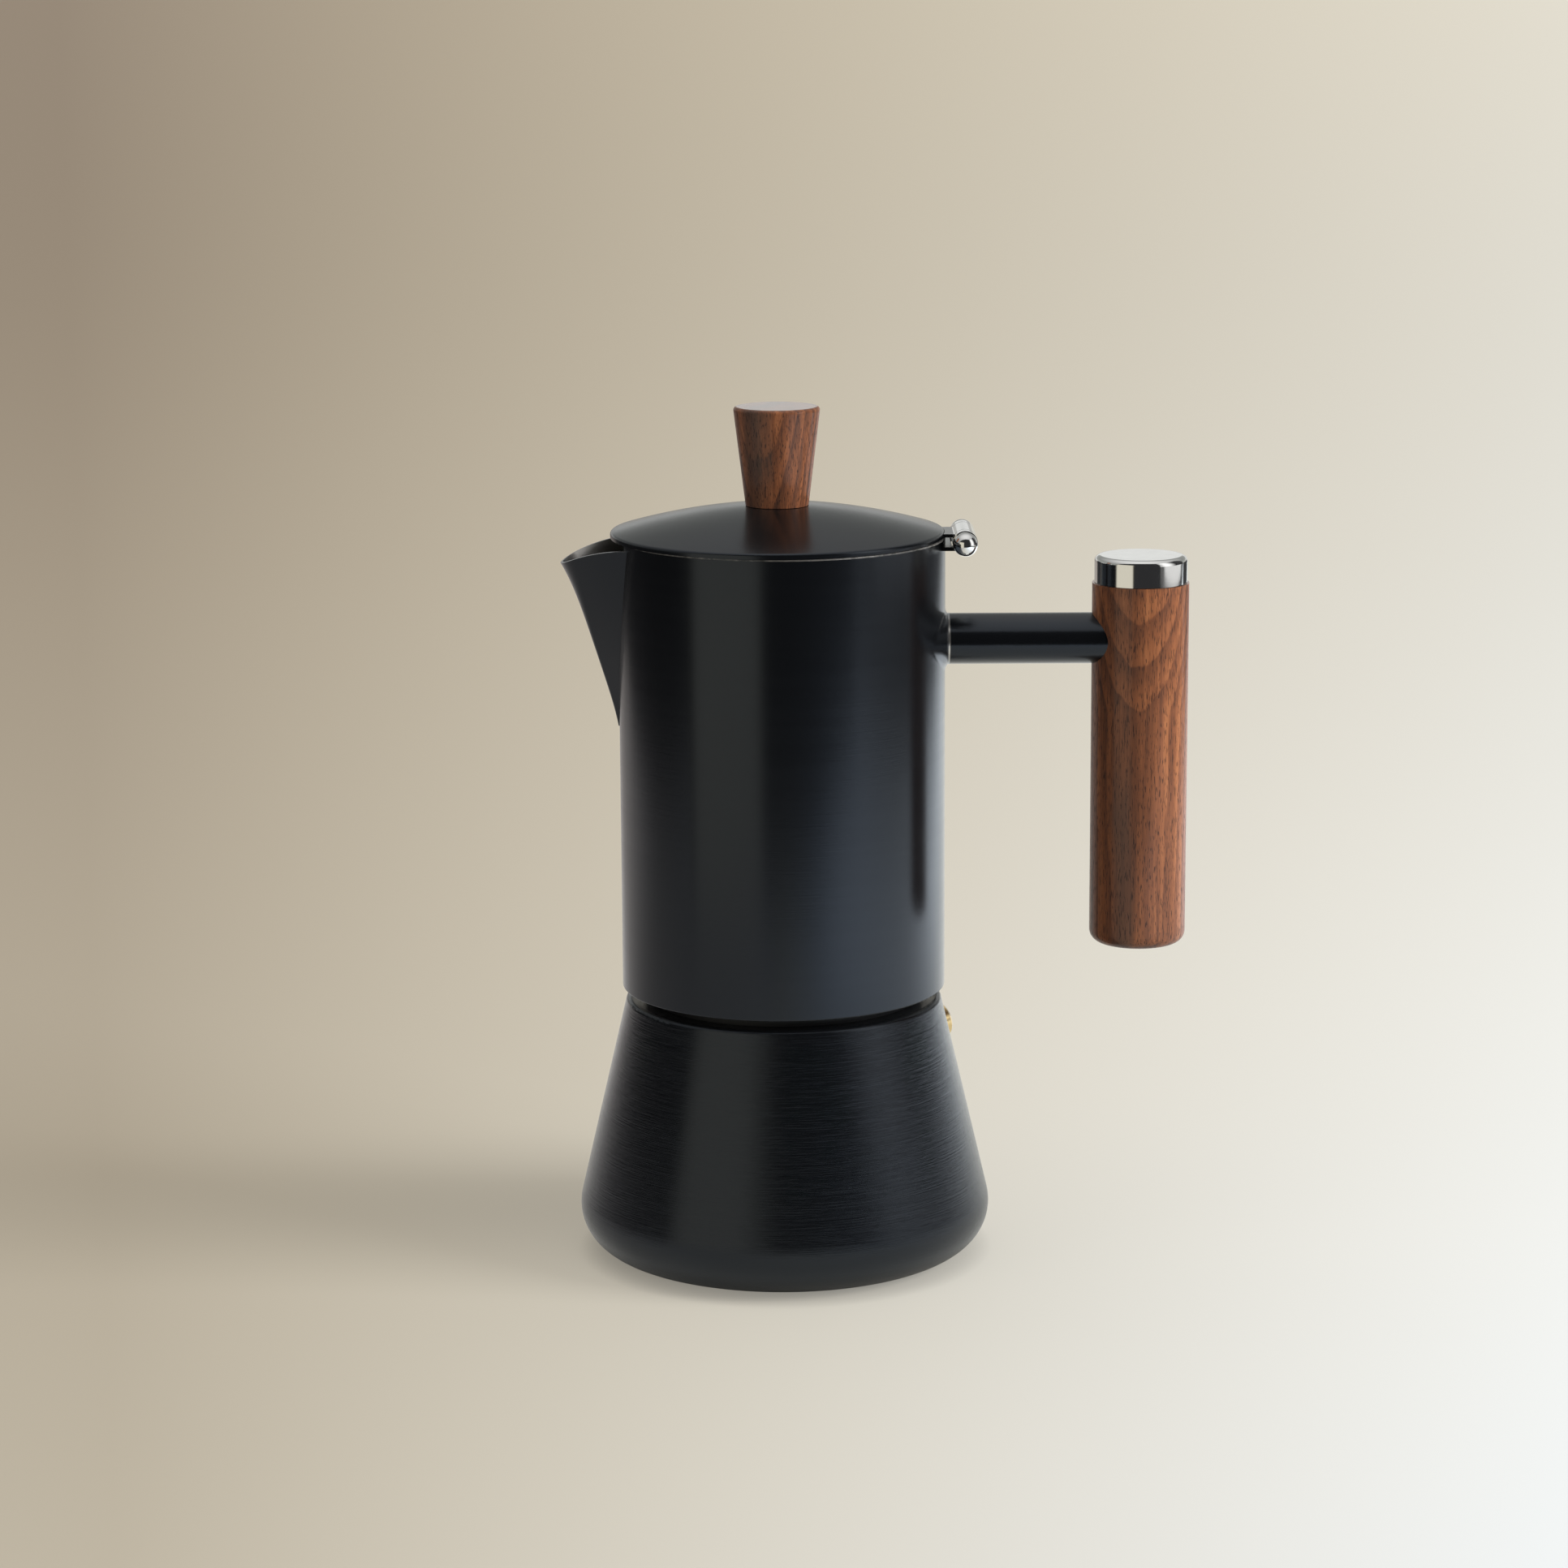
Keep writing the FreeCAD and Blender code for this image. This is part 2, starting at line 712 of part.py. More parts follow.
def make_chamber():
    """Cylinder wall, with a boss drawn out for the handle and a notch behind the spout."""
    body = new_body("chamber")
    wall = sketch_on(body, "chamber_wall_section", "XY_Plane", lift="chamber_foot_z")
    ring(wall, "chamber_radius")
    pressed(body, "Pad", wall, "chamber_height")

    root = sketch_on(body, "boss_root", "YZ_Plane", lift="boss_root_reach")
    root.setExpression("AttachmentOffset.Base.y", rule("handle_z"))
    oval(root, "boss_root_half_width", "boss_root_half_height")
    face = sketch_on(body, "boss_face", "YZ_Plane", lift="boss_face")
    face.setExpression("AttachmentOffset.Base.y", rule("handle_z"))
    oval(face, "tube_half_width", "tube_half_height")
    boss = body.newObject("PartDesign::AdditiveLoft", "boss")
    boss.Profile = root
    boss.Sections = [face]
    boss.Ruled = True
    body.Tip = boss
    blend_boss(body)

    bore = sketch_on(body, "chamber_bore_section", "XY_Plane", lift="chamber_foot_z - chamber_wall")
    ring(bore, "chamber_bore")
    pressed(body, "Pocket", bore, "chamber_height + 2 * chamber_wall", reverse=True)

    notch = sketch_on(body, "spout_notch", "YZ_Plane")
    outline(
        notch,
        [
            ("0", "notch_foot_z"),
            ("notch_half_width", "chamber_rim_z + chamber_wall"),
            ("-notch_half_width", "chamber_rim_z + chamber_wall"),
        ],
    )
    pressed(body, "Pocket", notch, "2 * chamber_radius")

    hole = sketch_on(body, "handle_screw_hole", "YZ_Plane", lift="chamber_bore / 2")
    ring(hole, "screw_radius", up="handle_z")
    pressed(body, "Pocket", hole, "chamber_radius", reverse=True)
    softened(body, "chamber_foot", "chamber_foot_round", [("chamber_radius", "chamber_foot_z")])


def blend_boss(body):
    """Rounds the seam where the boss leaves the cylinder."""
    doc.recompute()
    base = body.Tip
    level = size("handle_z")
    picked = []
    for row, edge in enumerate(base.Shape.Edges, 1):
        box = edge.BoundBox
        low, high = size("chamber_foot_z"), size("chamber_rim_z")
        on_wall = box.XMax < size("boss_face") - 1e-3 and box.XMin > 0
        if on_wall and box.ZMin > low + 1 and box.ZMax < high - 1 and box.ZMin < level < box.ZMax:
            picked.append("Edge%d" % row)
    blend = body.newObject("PartDesign::Fillet", "boss_blend")
    blend.Base = (base, picked)
    blend.setExpression("Radius", rule("boss_blend"))
    body.Tip = blend


def make_collar():
    """Threaded collar: its foot is welded to the wall, and its bore screws on the neck."""
    thread = "collar_bore + collar_wall"
    foot_top = "collar_foot_z + collar_foot"
    body = new_body("chamber_collar")
    turned(
        body,
        [
            ("collar_bore", "collar_foot_z"),
            ("chamber_bore", "collar_foot_z"),
            ("chamber_bore", foot_top),
            (thread, foot_top),
            (thread, "chamber_floor_z"),
            ("collar_bore", "chamber_floor_z"),
        ],
    )


def make_floor():
    """Floor of the chamber, flat over the gasket and rising to the column."""
    low = "chamber_floor_z"
    rise = "chamber_floor_z + floor_rise"
    body = new_body("chamber_floor")
    turned(
        body,
        [
            ("column_foot_radius", rise),
            ("floor_flat_radius", low),
            ("chamber_bore", low),
            ("chamber_bore", low + " + floor_thickness"),
            ("floor_flat_radius", low + " + floor_thickness"),
            ("column_foot_radius", rise + " + floor_thickness"),
        ],
    )


def make_column():
    """Tapered riser with a closed top and two side slots."""
    foot_bore = "column_foot_radius - column_wall"
    top_bore = "column_top_radius - column_wall"
    body = new_body("coffee_column")
    turned(
        body,
        [
            (foot_bore, "column_foot_z"),
            ("column_foot_radius", "column_foot_z"),
            ("column_foot_radius", "column_foot_z + 3 * floor_thickness"),
            ("column_top_radius", "column_top_z"),
            ("0", "column_top_z"),
            ("0", "column_top_z - column_wall"),
            (top_bore, "column_top_z - column_wall"),
            (foot_bore, "column_foot_z + 3 * floor_thickness"),
        ],
    )
    slot = sketch_on(body, "column_slot")
    half = "column_slot_width / 2"
    top = "column_top_z - column_slot_drop"
    outline(
        slot,
        [
            ("-" + half, top + " - column_slot_height"),
            (half, top + " - column_slot_height"),
            (half, top),
            ("-" + half, top),
        ],
    )
    pressed(body, "Pocket", slot, "4 * column_foot_radius", midplane=True)


# ---------------------------------------------------------------- spout

# Sections of the spout from its foot up to the chamber's rim, each as shares of
# (spout_height, spout_overhang, spout_half_width, spout_nose_radius).
SPOUT_SECTIONS = [
    (0.0, 0.02, 0.30, 0.075),
    (0.3, 0.278, 0.627, 0.14),
    (0.56, 0.54, 0.795, 0.28),
    (0.8, 0.83, 0.904, 0.62),
    (1.0, 1.24, 1.0, 1.0),
]


def spout_section(body, name, shares, inset):
    """A V with a rounded nose, on a level plane; inset moves it inwards by the wall."""
    up, out, width, nose = shares
    level = "spout_foot_z + %g * spout_height" % up
    bend = "max(%g * spout_nose_radius - %s; spout_nose_least)" % (nose, inset)
    centre = "chamber_radius + %g * spout_overhang - %s - %s" % (out, inset, bend)
    half = "%g * spout_half_width - 1.35 * %s" % (width, inset)
    sketch = sketch_on(body, name, "XY_Plane", lift=level)

    back, middle, side, radius = size("spout_back"), size(centre), size(half), size(bend)
    lean = math.atan2(side, middle - back)
    swing = math.acos(radius / math.hypot(side, middle - back))
    angle = math.pi - lean - swing
    touch = Vector(middle + radius * math.cos(angle), radius * math.sin(angle), 0)
    under = Vector(touch.x, -touch.y, 0)
    circle = Part.Circle(Vector(middle, 0, 0), Vector(0, 0, 1), radius)
    sketch.addGeometry(Part.LineSegment(Vector(back, -side, 0), under), False)
    sketch.addGeometry(Part.ArcOfCircle(circle, -angle, angle), False)
    sketch.addGeometry(Part.LineSegment(touch, Vector(back, side, 0)), False)
    sketch.addGeometry(Part.LineSegment(Vector(back, side, 0), Vector(back, -side, 0)), False)
    sketch.addConstraint(Sketcher.Constraint("Tangent", 0, 2, 1, 1))
    sketch.addConstraint(Sketcher.Constraint("Tangent", 1, 2, 2, 1))
    sketch.addConstraint(Sketcher.Constraint("Coincident", 2, 2, 3, 1))
    sketch.addConstraint(Sketcher.Constraint("Coincident", 3, 2, 0, 1))
    hold(sketch, 0, 1, "spout_back", "-(%s)" % half)
    hold(sketch, 2, 2, "spout_back", half)
    hold(sketch, 1, 3, centre, "0")
    limit = sketch.addConstraint(Sketcher.Constraint("Radius", 1, radius))
    sketch.setExpression("Constraints[%d]" % limit, rule(bend))
    return sketch


def make_spout():
    """Folded sheet spout, welded over the notch; its rim droops to the tip."""
    body = new_body("spout", turn=180)
    for kind, inset in (("AdditiveLoft", "0"), ("SubtractiveLoft", "spout_wall")):
        sections = [
            spout_section(body, "spout_%s_%d" % (kind[:3].lower(), row), shares, inset)
            for row, shares in enumerate(SPOUT_SECTIONS)
        ]
        loft = body.newObject("PartDesign::" + kind, "spout_" + kind[:3].lower())
        loft.Profile = sections[0]
        loft.Sections = sections[1:]
        body.Tip = loft
    above = "chamber_rim_z + 2 * spout_wall"
    far = "2 * spout_reach"
    rim = sketch_on(body, "spout_rim")
    outline(
        rim,
        [
            ("spout_back - spout_wall", "spout_root_z"),
            ("chamber_bore - chamber_wall", "spout_root_z", "-spout_rim_bend"),
            ("spout_reach", "spout_tip_z"),
            (far, "spout_tip_z"),
            (far, above),
            ("spout_back - spout_wall", above),
        ],
    )
    pressed(body, "Pocket", rim, "4 * chamber_radius", midplane=True)
    inside = sketch_on(body, "spout_saddle", "XY_Plane")
    ring(inside, "chamber_radius")
    pressed(body, "Pocket", inside, "2 * chamber_rim_z", reverse=True)


# ---------------------------------------------------------------- lid and knob


def make_lid():
    """Shallow crowned lid with a hemmed rim; it sits a little towards the spout."""
    bore = "knob_screw_radius"
    inner_corner = "lid_radius - lid_hem_width"
    body = new_body("lid", across="-lid_offset")
    turned(
        body,
        [
            (bore, "lid_seat_z - lid_wall"),
            ("lid_seat_radius", "lid_seat_z - lid_wall", "-(lid_crown_bend - lid_wall)"),
            (inner_corner, "lid_corner_z - lid_wall / 2"),
            (inner_corner, "lid_foot_z"),
            ("lid_radius", "lid_foot_z"),
            ("lid_radius", "lid_corner_z", "lid_crown_bend"),
            ("lid_seat_radius", "lid_seat_z"),
            (bore, "lid_seat_z"),
        ],
    )
    softened(body, "lid_edge", "lid_edge_round", [("lid_radius", "lid_corner_z")])


def make_knob():
    """Turned walnut knob, wider at the top."""
    body = new_body("knob", across="-lid_offset")
    top = "lid_seat_z + knob_height"
    depth = "lid_seat_z + knob_screw_depth"
    turned(
        body,
        [
            ("knob_screw_radius", "lid_seat_z"),
            ("knob_foot_radius", "lid_seat_z"),
            ("knob_top_radius", top),
            ("0", top),
            ("0", depth),
            ("knob_screw_radius", depth),
        ],
    )
    softened(body, "knob_top", "knob_top_round", [("knob_top_radius", top)])


def make_knob_fixing():
    """Washer and screw that hold the knob from under the lid."""
    under = "lid_seat_z - lid_wall"
    washer_foot = under + " - knob_washer_thickness"
    head_foot = washer_foot + " - knob_screw_head_height"
    washer = new_body("knob_washer", across="-lid_offset")
    turned(
        washer,
        [
            ("knob_screw_radius", washer_foot),
            ("knob_washer_radius", washer_foot),
            ("knob_washer_radius", under),
            ("knob_screw_radius", under),
        ],
    )
    screw = new_body("knob_screw", across="-lid_offset")
    tip = "lid_seat_z + knob_screw_depth"
    turned(
        screw,
        [
            ("0", head_foot),
            ("knob_screw_head_radius", head_foot),
            ("knob_screw_head_radius", washer_foot),
            ("knob_screw_radius", washer_foot),
            ("knob_screw_radius", tip),
            ("0", tip),
        ],
    )


# ---------------------------------------------------------------- hinge


def make_leaf():
    """Middle knuckle, with a tongue welded to the lid's rim."""
    body = new_body("hinge_leaf")
    knuckle = sketch_on(body, "leaf_knuckle")
    ring(knuckle, "knuckle_radius", "hinge_reach", "hinge_z")
    pressed(body, "Pad", knuckle, "leaf_width", midplane=True)
    tongue = sketch_on(body, "leaf_tongue")
    foot = "lid_foot_z + seat_gap"
    back = "lid_radius - lid_offset - 2 * leaf_thickness"
    front = "hinge_reach - pin_radius - pin_clearance - knuckle_wall / 4"
    outline(
        tongue,
        [
            (back, foot),
            (front, foot),
            (front, foot + " + leaf_thickness"),
            (back, foot + " + leaf_thickness"),
        ],
    )
    pressed(body, "Pad", tongue, "leaf_width", midplane=True)
    bore = sketch_on(body, "leaf_bore")
    ring(bore, "pin_radius + pin_clearance", "hinge_reach", "hinge_z")
    pressed(body, "Pocket", bore, "2 * leaf_width", midplane=True)
    saddle = sketch_on(body, "leaf_saddle", "XY_Plane")
    ring(saddle, "lid_radius", across="-lid_offset")
    pressed(body, "Pocket", saddle, "2 * lid_seat_z", reverse=True)


def make_bracket():
    """Two outer knuckles on an arm welded to the chamber's wall."""
    body = new_body("hinge_bracket")
    knuckles = sketch_on(body, "bracket_knuckles")
    ring(knuckles, "knuckle_radius", "hinge_reach", "hinge_z")
    pressed(body, "Pad", knuckles, "2 * bracket_half_width", midplane=True)
    arm = sketch_on(body, "bracket_arm")
    top = "hinge_z - bracket_drop + bracket_thickness"
    outline(
        arm,
        [
            ("chamber_bore - bracket_thickness", "hinge_z - bracket_drop"),
            ("hinge_reach - pin_radius", "hinge_z - bracket_drop"),
            ("hinge_reach - pin_radius", top),
            ("chamber_bore - bracket_thickness", top),
        ],
    )
    pressed(body, "Pad", arm, "2 * bracket_half_width", midplane=True)
    room = sketch_on(body, "bracket_leaf_room")
    ring(room, "knuckle_radius + knuckle_gap", "hinge_reach", "hinge_z")
    pressed(body, "Pocket", room, "leaf_width + 2 * knuckle_gap", midplane=True)
    bore = sketch_on(body, "bracket_bore")
    ring(bore, "pin_radius", "hinge_reach", "hinge_z")
    pressed(body, "Pocket", bore, "4 * bracket_half_width", midplane=True)
    saddle = sketch_on(body, "bracket_saddle", "XY_Plane")
    ring(saddle, "chamber_radius")
    pressed(body, "Pocket", saddle, "2 * lid_seat_z", reverse=True)


def make_hinge_pin():
    """Pin along Y, with a ball on each end."""
    half = "bracket_half_width + seat_gap + pin_grip"
    pin = new_body("hinge_pin")
    section = sketch_on(pin, "hinge_pin_section")
    ring(section, "pin_radius", "hinge_reach", "hinge_z")
    pressed(pin, "Pad", section, "2 * (%s)" % half, midplane=True)

    balls = []
    for side in (1, -1):
        ball = doc.addObject("Part::Sphere", "pin_ball")
        ball.setExpression("Radius", rule("pin_ball_radius"))
        centre = "%d * (bracket_half_width + pin_ball_reach)" % side
        ball.setExpression("Placement.Base.y", rule(centre))
        balls.append(ball)
    face = "bracket_half_width + seat_gap"
    core = doc.addObject("Part::Cylinder", "pin_ball_clearance")
    core.setExpression("Radius", rule("2 * pin_ball_radius"))
    core.setExpression("Height", rule("2 * (%s)" % face))
    core.Placement = Placement(Vector(), Rotation(Vector(1, 0, 0), -90))
    core.setExpression("Placement.Base.y", rule("-(%s)" % face))
    drill = doc.addObject("Part::Cylinder", "pin_ball_drill")
    drill.setExpression("Radius", rule("pin_radius"))
    drill.setExpression("Height", rule("2 * (%s)" % half))
    drill.Placement = Placement(Vector(), Rotation(Vector(1, 0, 0), -90))
    drill.setExpression("Placement.Base.y", rule("-(%s)" % half))
    pair = doc.addObject("Part::Compound", "pin_ball_pair")
    pair.Links = balls
    made = piece("pin_balls", drilled("pin_balls", pair, [core, drill]))
    made.setExpression("Placement.Base.x", rule("hinge_reach"))
    made.setExpression("Placement.Base.z", rule("hinge_z"))


# ---------------------------------------------------------------- handle


def make_tube():
    """Oval tube from the boss to the grip, its far end cut to the grip's round."""
    body = new_body("handle_tube", across="boss_face", up="handle_z")
    section = sketch_on(body, "tube_section", "YZ_Plane")
    oval(section, "tube_half_width", "tube_half_height")
    pressed(body, "Pad", section, "handle_reach - boss_face")
    hollow = sketch_on(body, "tube_hollow", "YZ_Plane")
    oval(hollow, "tube_half_width - tube_wall", "tube_half_height - tube_wall")
    pressed(body, "Pocket", hollow, "2 * handle_reach", reverse=True)
    saddle = sketch_on(body, "tube_saddle", "XY_Plane")
    ring(saddle, "grip_radius", across="handle_reach - boss_face")
    pressed(body, "Pocket", saddle, "4 * tube_half_height", midplane=True)


def make_handle_screw():
    """Screw and washer that pull the tube and grip onto the chamber from inside."""
    seat = "chamber_bore - washer_gap - washer_thickness"
    washer = new_body("handle_washer", up="handle_z")
    section = sketch_on(washer, "handle_washer_section", "YZ_Plane", lift=seat)
    ring(section, "washer_radius")
    ring(section, "screw_radius")
    pressed(washer, "Pad", section, "washer_thickness")

    screw = new_body("handle_screw", up="handle_z")
    head = sketch_on(screw, "handle_screw_head", "YZ_Plane", lift=seat)
    ring(head, "screw_head_radius")
    pressed(screw, "Pad", head, "screw_head_height", reverse=True)
    shank = sketch_on(screw, "handle_screw_shank", "YZ_Plane", lift=seat)
    ring(shank, "screw_radius")
    pressed(screw, "Pad", shank, "handle_reach + rod_radius - screw_tip_inset - (%s)" % seat)


def make_grip():
    """Turned walnut grip, bored for the rod and cross-bored for the screw."""
    body = new_body("grip", across="handle_reach")
    foot = "rod_top_z - rod_length"
    turned(
        body,
        [
            ("0", "grip_foot_z"),
            ("grip_radius", "grip_foot_z"),
            ("grip_radius", "grip_top_z"),
            ("rod_radius", "grip_top_z"),
            ("rod_radius", foot),
            ("0", foot),
        ],
    )
    softened(body, "grip_foot", "grip_foot_round", [("grip_radius", "grip_foot_z")])
    cross = sketch_on(body, "grip_cross_bore", "YZ_Plane")
    ring(cross, "screw_radius", up="handle_z")
    pressed(body, "Pocket", cross, "2 * grip_radius")


def make_grip_rod():
    """Steel rod inside the grip; the screw and the cap both thread into it."""
    body = new_body("grip_rod", across="handle_reach")
    foot = "rod_top_z - rod_length"
    turned(
        body,
        [
            ("0", foot),
            ("rod_radius", foot),
            ("rod_radius", "rod_top_z"),
            ("cap_spigot_radius", "rod_top_z"),
            ("cap_spigot_radius", "spigot_foot_z"),
            ("0", "spigot_foot_z"),
        ],
    )
    cross = sketch_on(body, "rod_cross_bore", "YZ_Plane", lift="rod_radius - screw_tip_inset")
    ring(cross, "screw_radius", up="handle_z")
    pressed(body, "Pocket", cross, "4 * rod_radius")


def make_grip_cap():
    """Polished steel cap with a threaded spigot."""
    body = new_body("grip_cap", across="handle_reach")
    top = "cap_foot_z + cap_height"
    turned(
        body,
        [
            ("0", "spigot_foot_z"),
            ("cap_spigot_radius", "spigot_foot_z"),
            ("cap_spigot_radius", "cap_foot_z"),
            ("cap_radius", "cap_foot_z"),
            ("cap_radius", top),
            ("0", top),
        ],
    )
    softened(body, "grip_cap_edge", "cap_round", [("cap_radius", top)])


# ---------------------------------------------------------------- build and write

make_boiler()
make_base_plate()
make_neck()
make_valve()
make_funnel()
make_strainer(
    "basket_plate",
    "funnel_radius - funnel_wall - strainer_fit",
    "basket_floor_z + strainer_lift",
)
make_strainer("filter_plate", "gasket_bore - strainer_fit", "gasket_z + strainer_lift")
make_gasket()
make_chamber()
make_collar()
make_floor()
make_column()
make_spout()
make_lid()
make_knob()
make_knob_fixing()
make_leaf()
make_bracket()
make_hinge_pin()
make_tube()
make_handle_screw()
make_grip()
make_grip_rod()
make_grip_cap()

doc.recompute()
for item in doc.Objects:
    if "Invalid" in item.State or "Error" in item.State:
        raise RuntimeError("%s did not build: %s" % (item.Label, item.State))
for item in PIECES:
    if item.Shape.isNull() or not item.Shape.isValid() or not item.Shape.Solids:
        raise RuntimeError("%s has no sound solid" % item.Label)

os.makedirs("parts", exist_ok=True)
for item in PIECES:
    item.Shape.exportStep("parts/%s.step" % item.Label)
    print("%-16s %2d solid %10.1f mm3" % (item.Label, len(item.Shape.Solids), item.Shape.Volume))
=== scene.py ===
"""Looks of a stove-top moka pot: finishes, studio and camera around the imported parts."""

import json
import math

import bmesh
import bpy
from mathutils import Euler, Matrix, Vector


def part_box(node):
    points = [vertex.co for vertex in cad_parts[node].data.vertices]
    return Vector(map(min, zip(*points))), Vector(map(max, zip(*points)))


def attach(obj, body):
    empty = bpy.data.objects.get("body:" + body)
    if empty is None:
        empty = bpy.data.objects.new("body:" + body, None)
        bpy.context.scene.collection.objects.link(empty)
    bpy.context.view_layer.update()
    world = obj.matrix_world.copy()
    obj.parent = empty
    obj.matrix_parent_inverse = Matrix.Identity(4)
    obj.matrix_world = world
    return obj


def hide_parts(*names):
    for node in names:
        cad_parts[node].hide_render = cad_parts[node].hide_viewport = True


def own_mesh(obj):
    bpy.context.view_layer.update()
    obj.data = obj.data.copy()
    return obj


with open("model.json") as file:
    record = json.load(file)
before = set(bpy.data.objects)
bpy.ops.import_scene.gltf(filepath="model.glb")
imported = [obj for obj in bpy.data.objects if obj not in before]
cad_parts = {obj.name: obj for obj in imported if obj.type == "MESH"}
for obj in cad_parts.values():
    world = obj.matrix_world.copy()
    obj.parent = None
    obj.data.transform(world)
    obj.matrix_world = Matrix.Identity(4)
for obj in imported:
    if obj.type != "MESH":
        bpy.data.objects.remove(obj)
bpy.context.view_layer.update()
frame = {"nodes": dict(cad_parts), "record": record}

MM = 0.001


# ---------------------------------------------------------------- places from the frame


def centre(node):
    low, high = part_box(node)
    return (low + high) / 2


def low(node):
    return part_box(node)[0]


def high(node):
    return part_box(node)[1]


RIM_Z = high("chamber").z
CHAMBER_FOOT_Z = low("chamber").z
TUBE_X = low("handle_tube").x
GRIP_X = centre("grip").x
GRIP_TOP_Z = high("grip").z
KNOB_X = centre("knob").x
LID_SEAT_Z = low("knob").z
HINGE_X = centre("hinge_pin").x


# ---------------------------------------------------------------- shader expressions


class Wire:
    """An output socket with arithmetic, so that a pattern reads as an expression."""

    def __init__(self, shader, socket):
        self.shader = shader
        self.socket = socket

    def math(self, operation, *others):
        return self.shader.add("ShaderNodeMath", {"operation": operation}, self, *others)

    def __add__(self, other):
        return self.math("ADD", other)

    def __sub__(self, other):
        return self.math("SUBTRACT", other)

    def __mul__(self, other):
        return self.math("MULTIPLY", other)

    def __truediv__(self, other):
        return self.math("DIVIDE", other)

    def __rsub__(self, other):
        return self.shader.add("ShaderNodeMath", {"operation": "SUBTRACT"}, other, self)

    def __rtruediv__(self, other):
        return self.shader.add("ShaderNodeMath", {"operation": "DIVIDE"}, other, self)

    def __abs__(self):
        return self.math("ABSOLUTE")

    def over(self, least):
        return self.math("MAXIMUM", least)

    def under(self, most):
        return self.math("MINIMUM", most)

    __radd__ = __add__
    __rmul__ = __mul__


class Shader:
    def __init__(self, name, family="materials"):
        self.material = getattr(bpy.data, family).new(name)
        self.material.use_nodes = True
        self.tree = self.material.node_tree
        self.surface = self.tree.nodes.get("Principled BSDF")
        self.place = self.add("ShaderNodeTexCoord", {}, output="Object")

    def add(self, kind, settings, *values, output=0, **named):
        node = self.tree.nodes.new(kind)
        for name, value in settings.items():
            if name == "ramp":
                self.fill_ramp(node.color_ramp, value)
            else:
                setattr(node, name, value)
        for key, value in list(enumerate(values)) + list(named.items()):
            socket = node.inputs[key.replace("_", " ") if isinstance(key, str) else key]
            if isinstance(value, Wire):
                self.tree.links.new(value.socket, socket)
            elif value is not None:
                socket.default_value = value
        return Wire(self, node.outputs[output])

    @staticmethod
    def fill_ramp(ramp, stops):
        while len(ramp.elements) < len(stops):
            ramp.elements.new(1.0)
        for element, (position, colour) in zip(ramp.elements, stops):
            element.position = position
            element.color = colour if len(colour) == 4 else (*colour, 1.0)

    def axis(self, name, source=None):
        return self.add("ShaderNodeSeparateXYZ", {}, source or self.place, output=name)

    def facing(self, name):
        """One part of the surface's own direction, in the piece's coordinates."""
        direction = self.add("ShaderNodeTexCoord", {}, output="Normal")
        return self.axis(name, direction)

    def ray(self, name):
        return self.add("ShaderNodeLightPath", {}, output=name)

    def mapped(self, scale=(1, 1, 1), location=(0, 0, 0), rotation=(0, 0, 0), source=None):
        return self.add(
            "ShaderNodeMapping", {}, source or self.place,
            Scale=scale, Location=location, Rotation=rotation,
        )

    def noise(self, source, scale, detail=2.0, roughness=0.5):
        return self.add(
            "ShaderNodeTexNoise", {}, Vector=source, Scale=scale, Detail=detail,
            Roughness=roughness,
        )

    def drawn_noise(self, scale, detail, roughness=0.5, source=None):
        """Noise drawn out along the axes where the scale is small."""
        return self.noise(self.mapped(scale, source=source), 1.0, detail, roughness)

    def step(self, value, start, end, low=0.0, high=1.0):
        """Goes smoothly from low to high while value goes from start to end."""
        return self.add(
            "ShaderNodeMapRange", {"interpolation_type": "SMOOTHSTEP"},
            value, start, end, low, high,
        )

    def mix(self, share, first, second):
        node = self.tree.nodes.new("ShaderNodeMix")
        node.data_type = "RGBA"
        for key, value in (("Factor", share), ("A", first), ("B", second)):
            socket = next(
                s for s in node.inputs
                if s.name == key and (s.type == "RGBA" or key == "Factor") and s.enabled
            )
            if isinstance(value, Wire):
                self.tree.links.new(value.socket, socket)
            else:
                socket.default_value = value if key == "Factor" else (*value[:3], 1.0)
        return Wire(self, next(s for s in node.outputs if s.type == "RGBA"))

    def colour(self, red, green, blue):
        return self.add("ShaderNodeCombineColor", {}, red, green, blue)

    def ramp(self, stops, share):
        return self.add("ShaderNodeValToRGB", {"ramp": stops}, share)

    def bump(self, height, distance, strength):
        return self.add(
            "ShaderNodeBump", {}, Strength=strength, Distance=distance, Height=height
        )

    def finish(self, **sockets):
        for name, value in sockets.items():
            socket = self.surface.inputs[name.replace("_", " ")]
            if isinstance(value, Wire):
                self.tree.links.new(value.socket, socket)
            else:
                socket.default_value = value if not isinstance(value, tuple) else (*value[:3], 1.0)
        return self.material


# ---------------------------------------------------------------- finishes

PAINT_COLOUR = (0.0034, 0.0038, 0.0046)
PAINT_GLOSS = {"Specular_IOR_Level": 0.50, "Specular_Tint": (0.77, 0.865, 1.0)}
STEEL_COLOUR = (0.57, 0.55, 0.52)
MIRROR_COLOUR = (0.80, 0.795, 0.775)
BARREL_COLOUR = (0.62, 0.615, 0.60)
PAINT_BRUSHING = 0.012 * MM
BOILER_BRUSHING = 0.09 * MM
STEEL_BRUSHING = 0.01 * MM


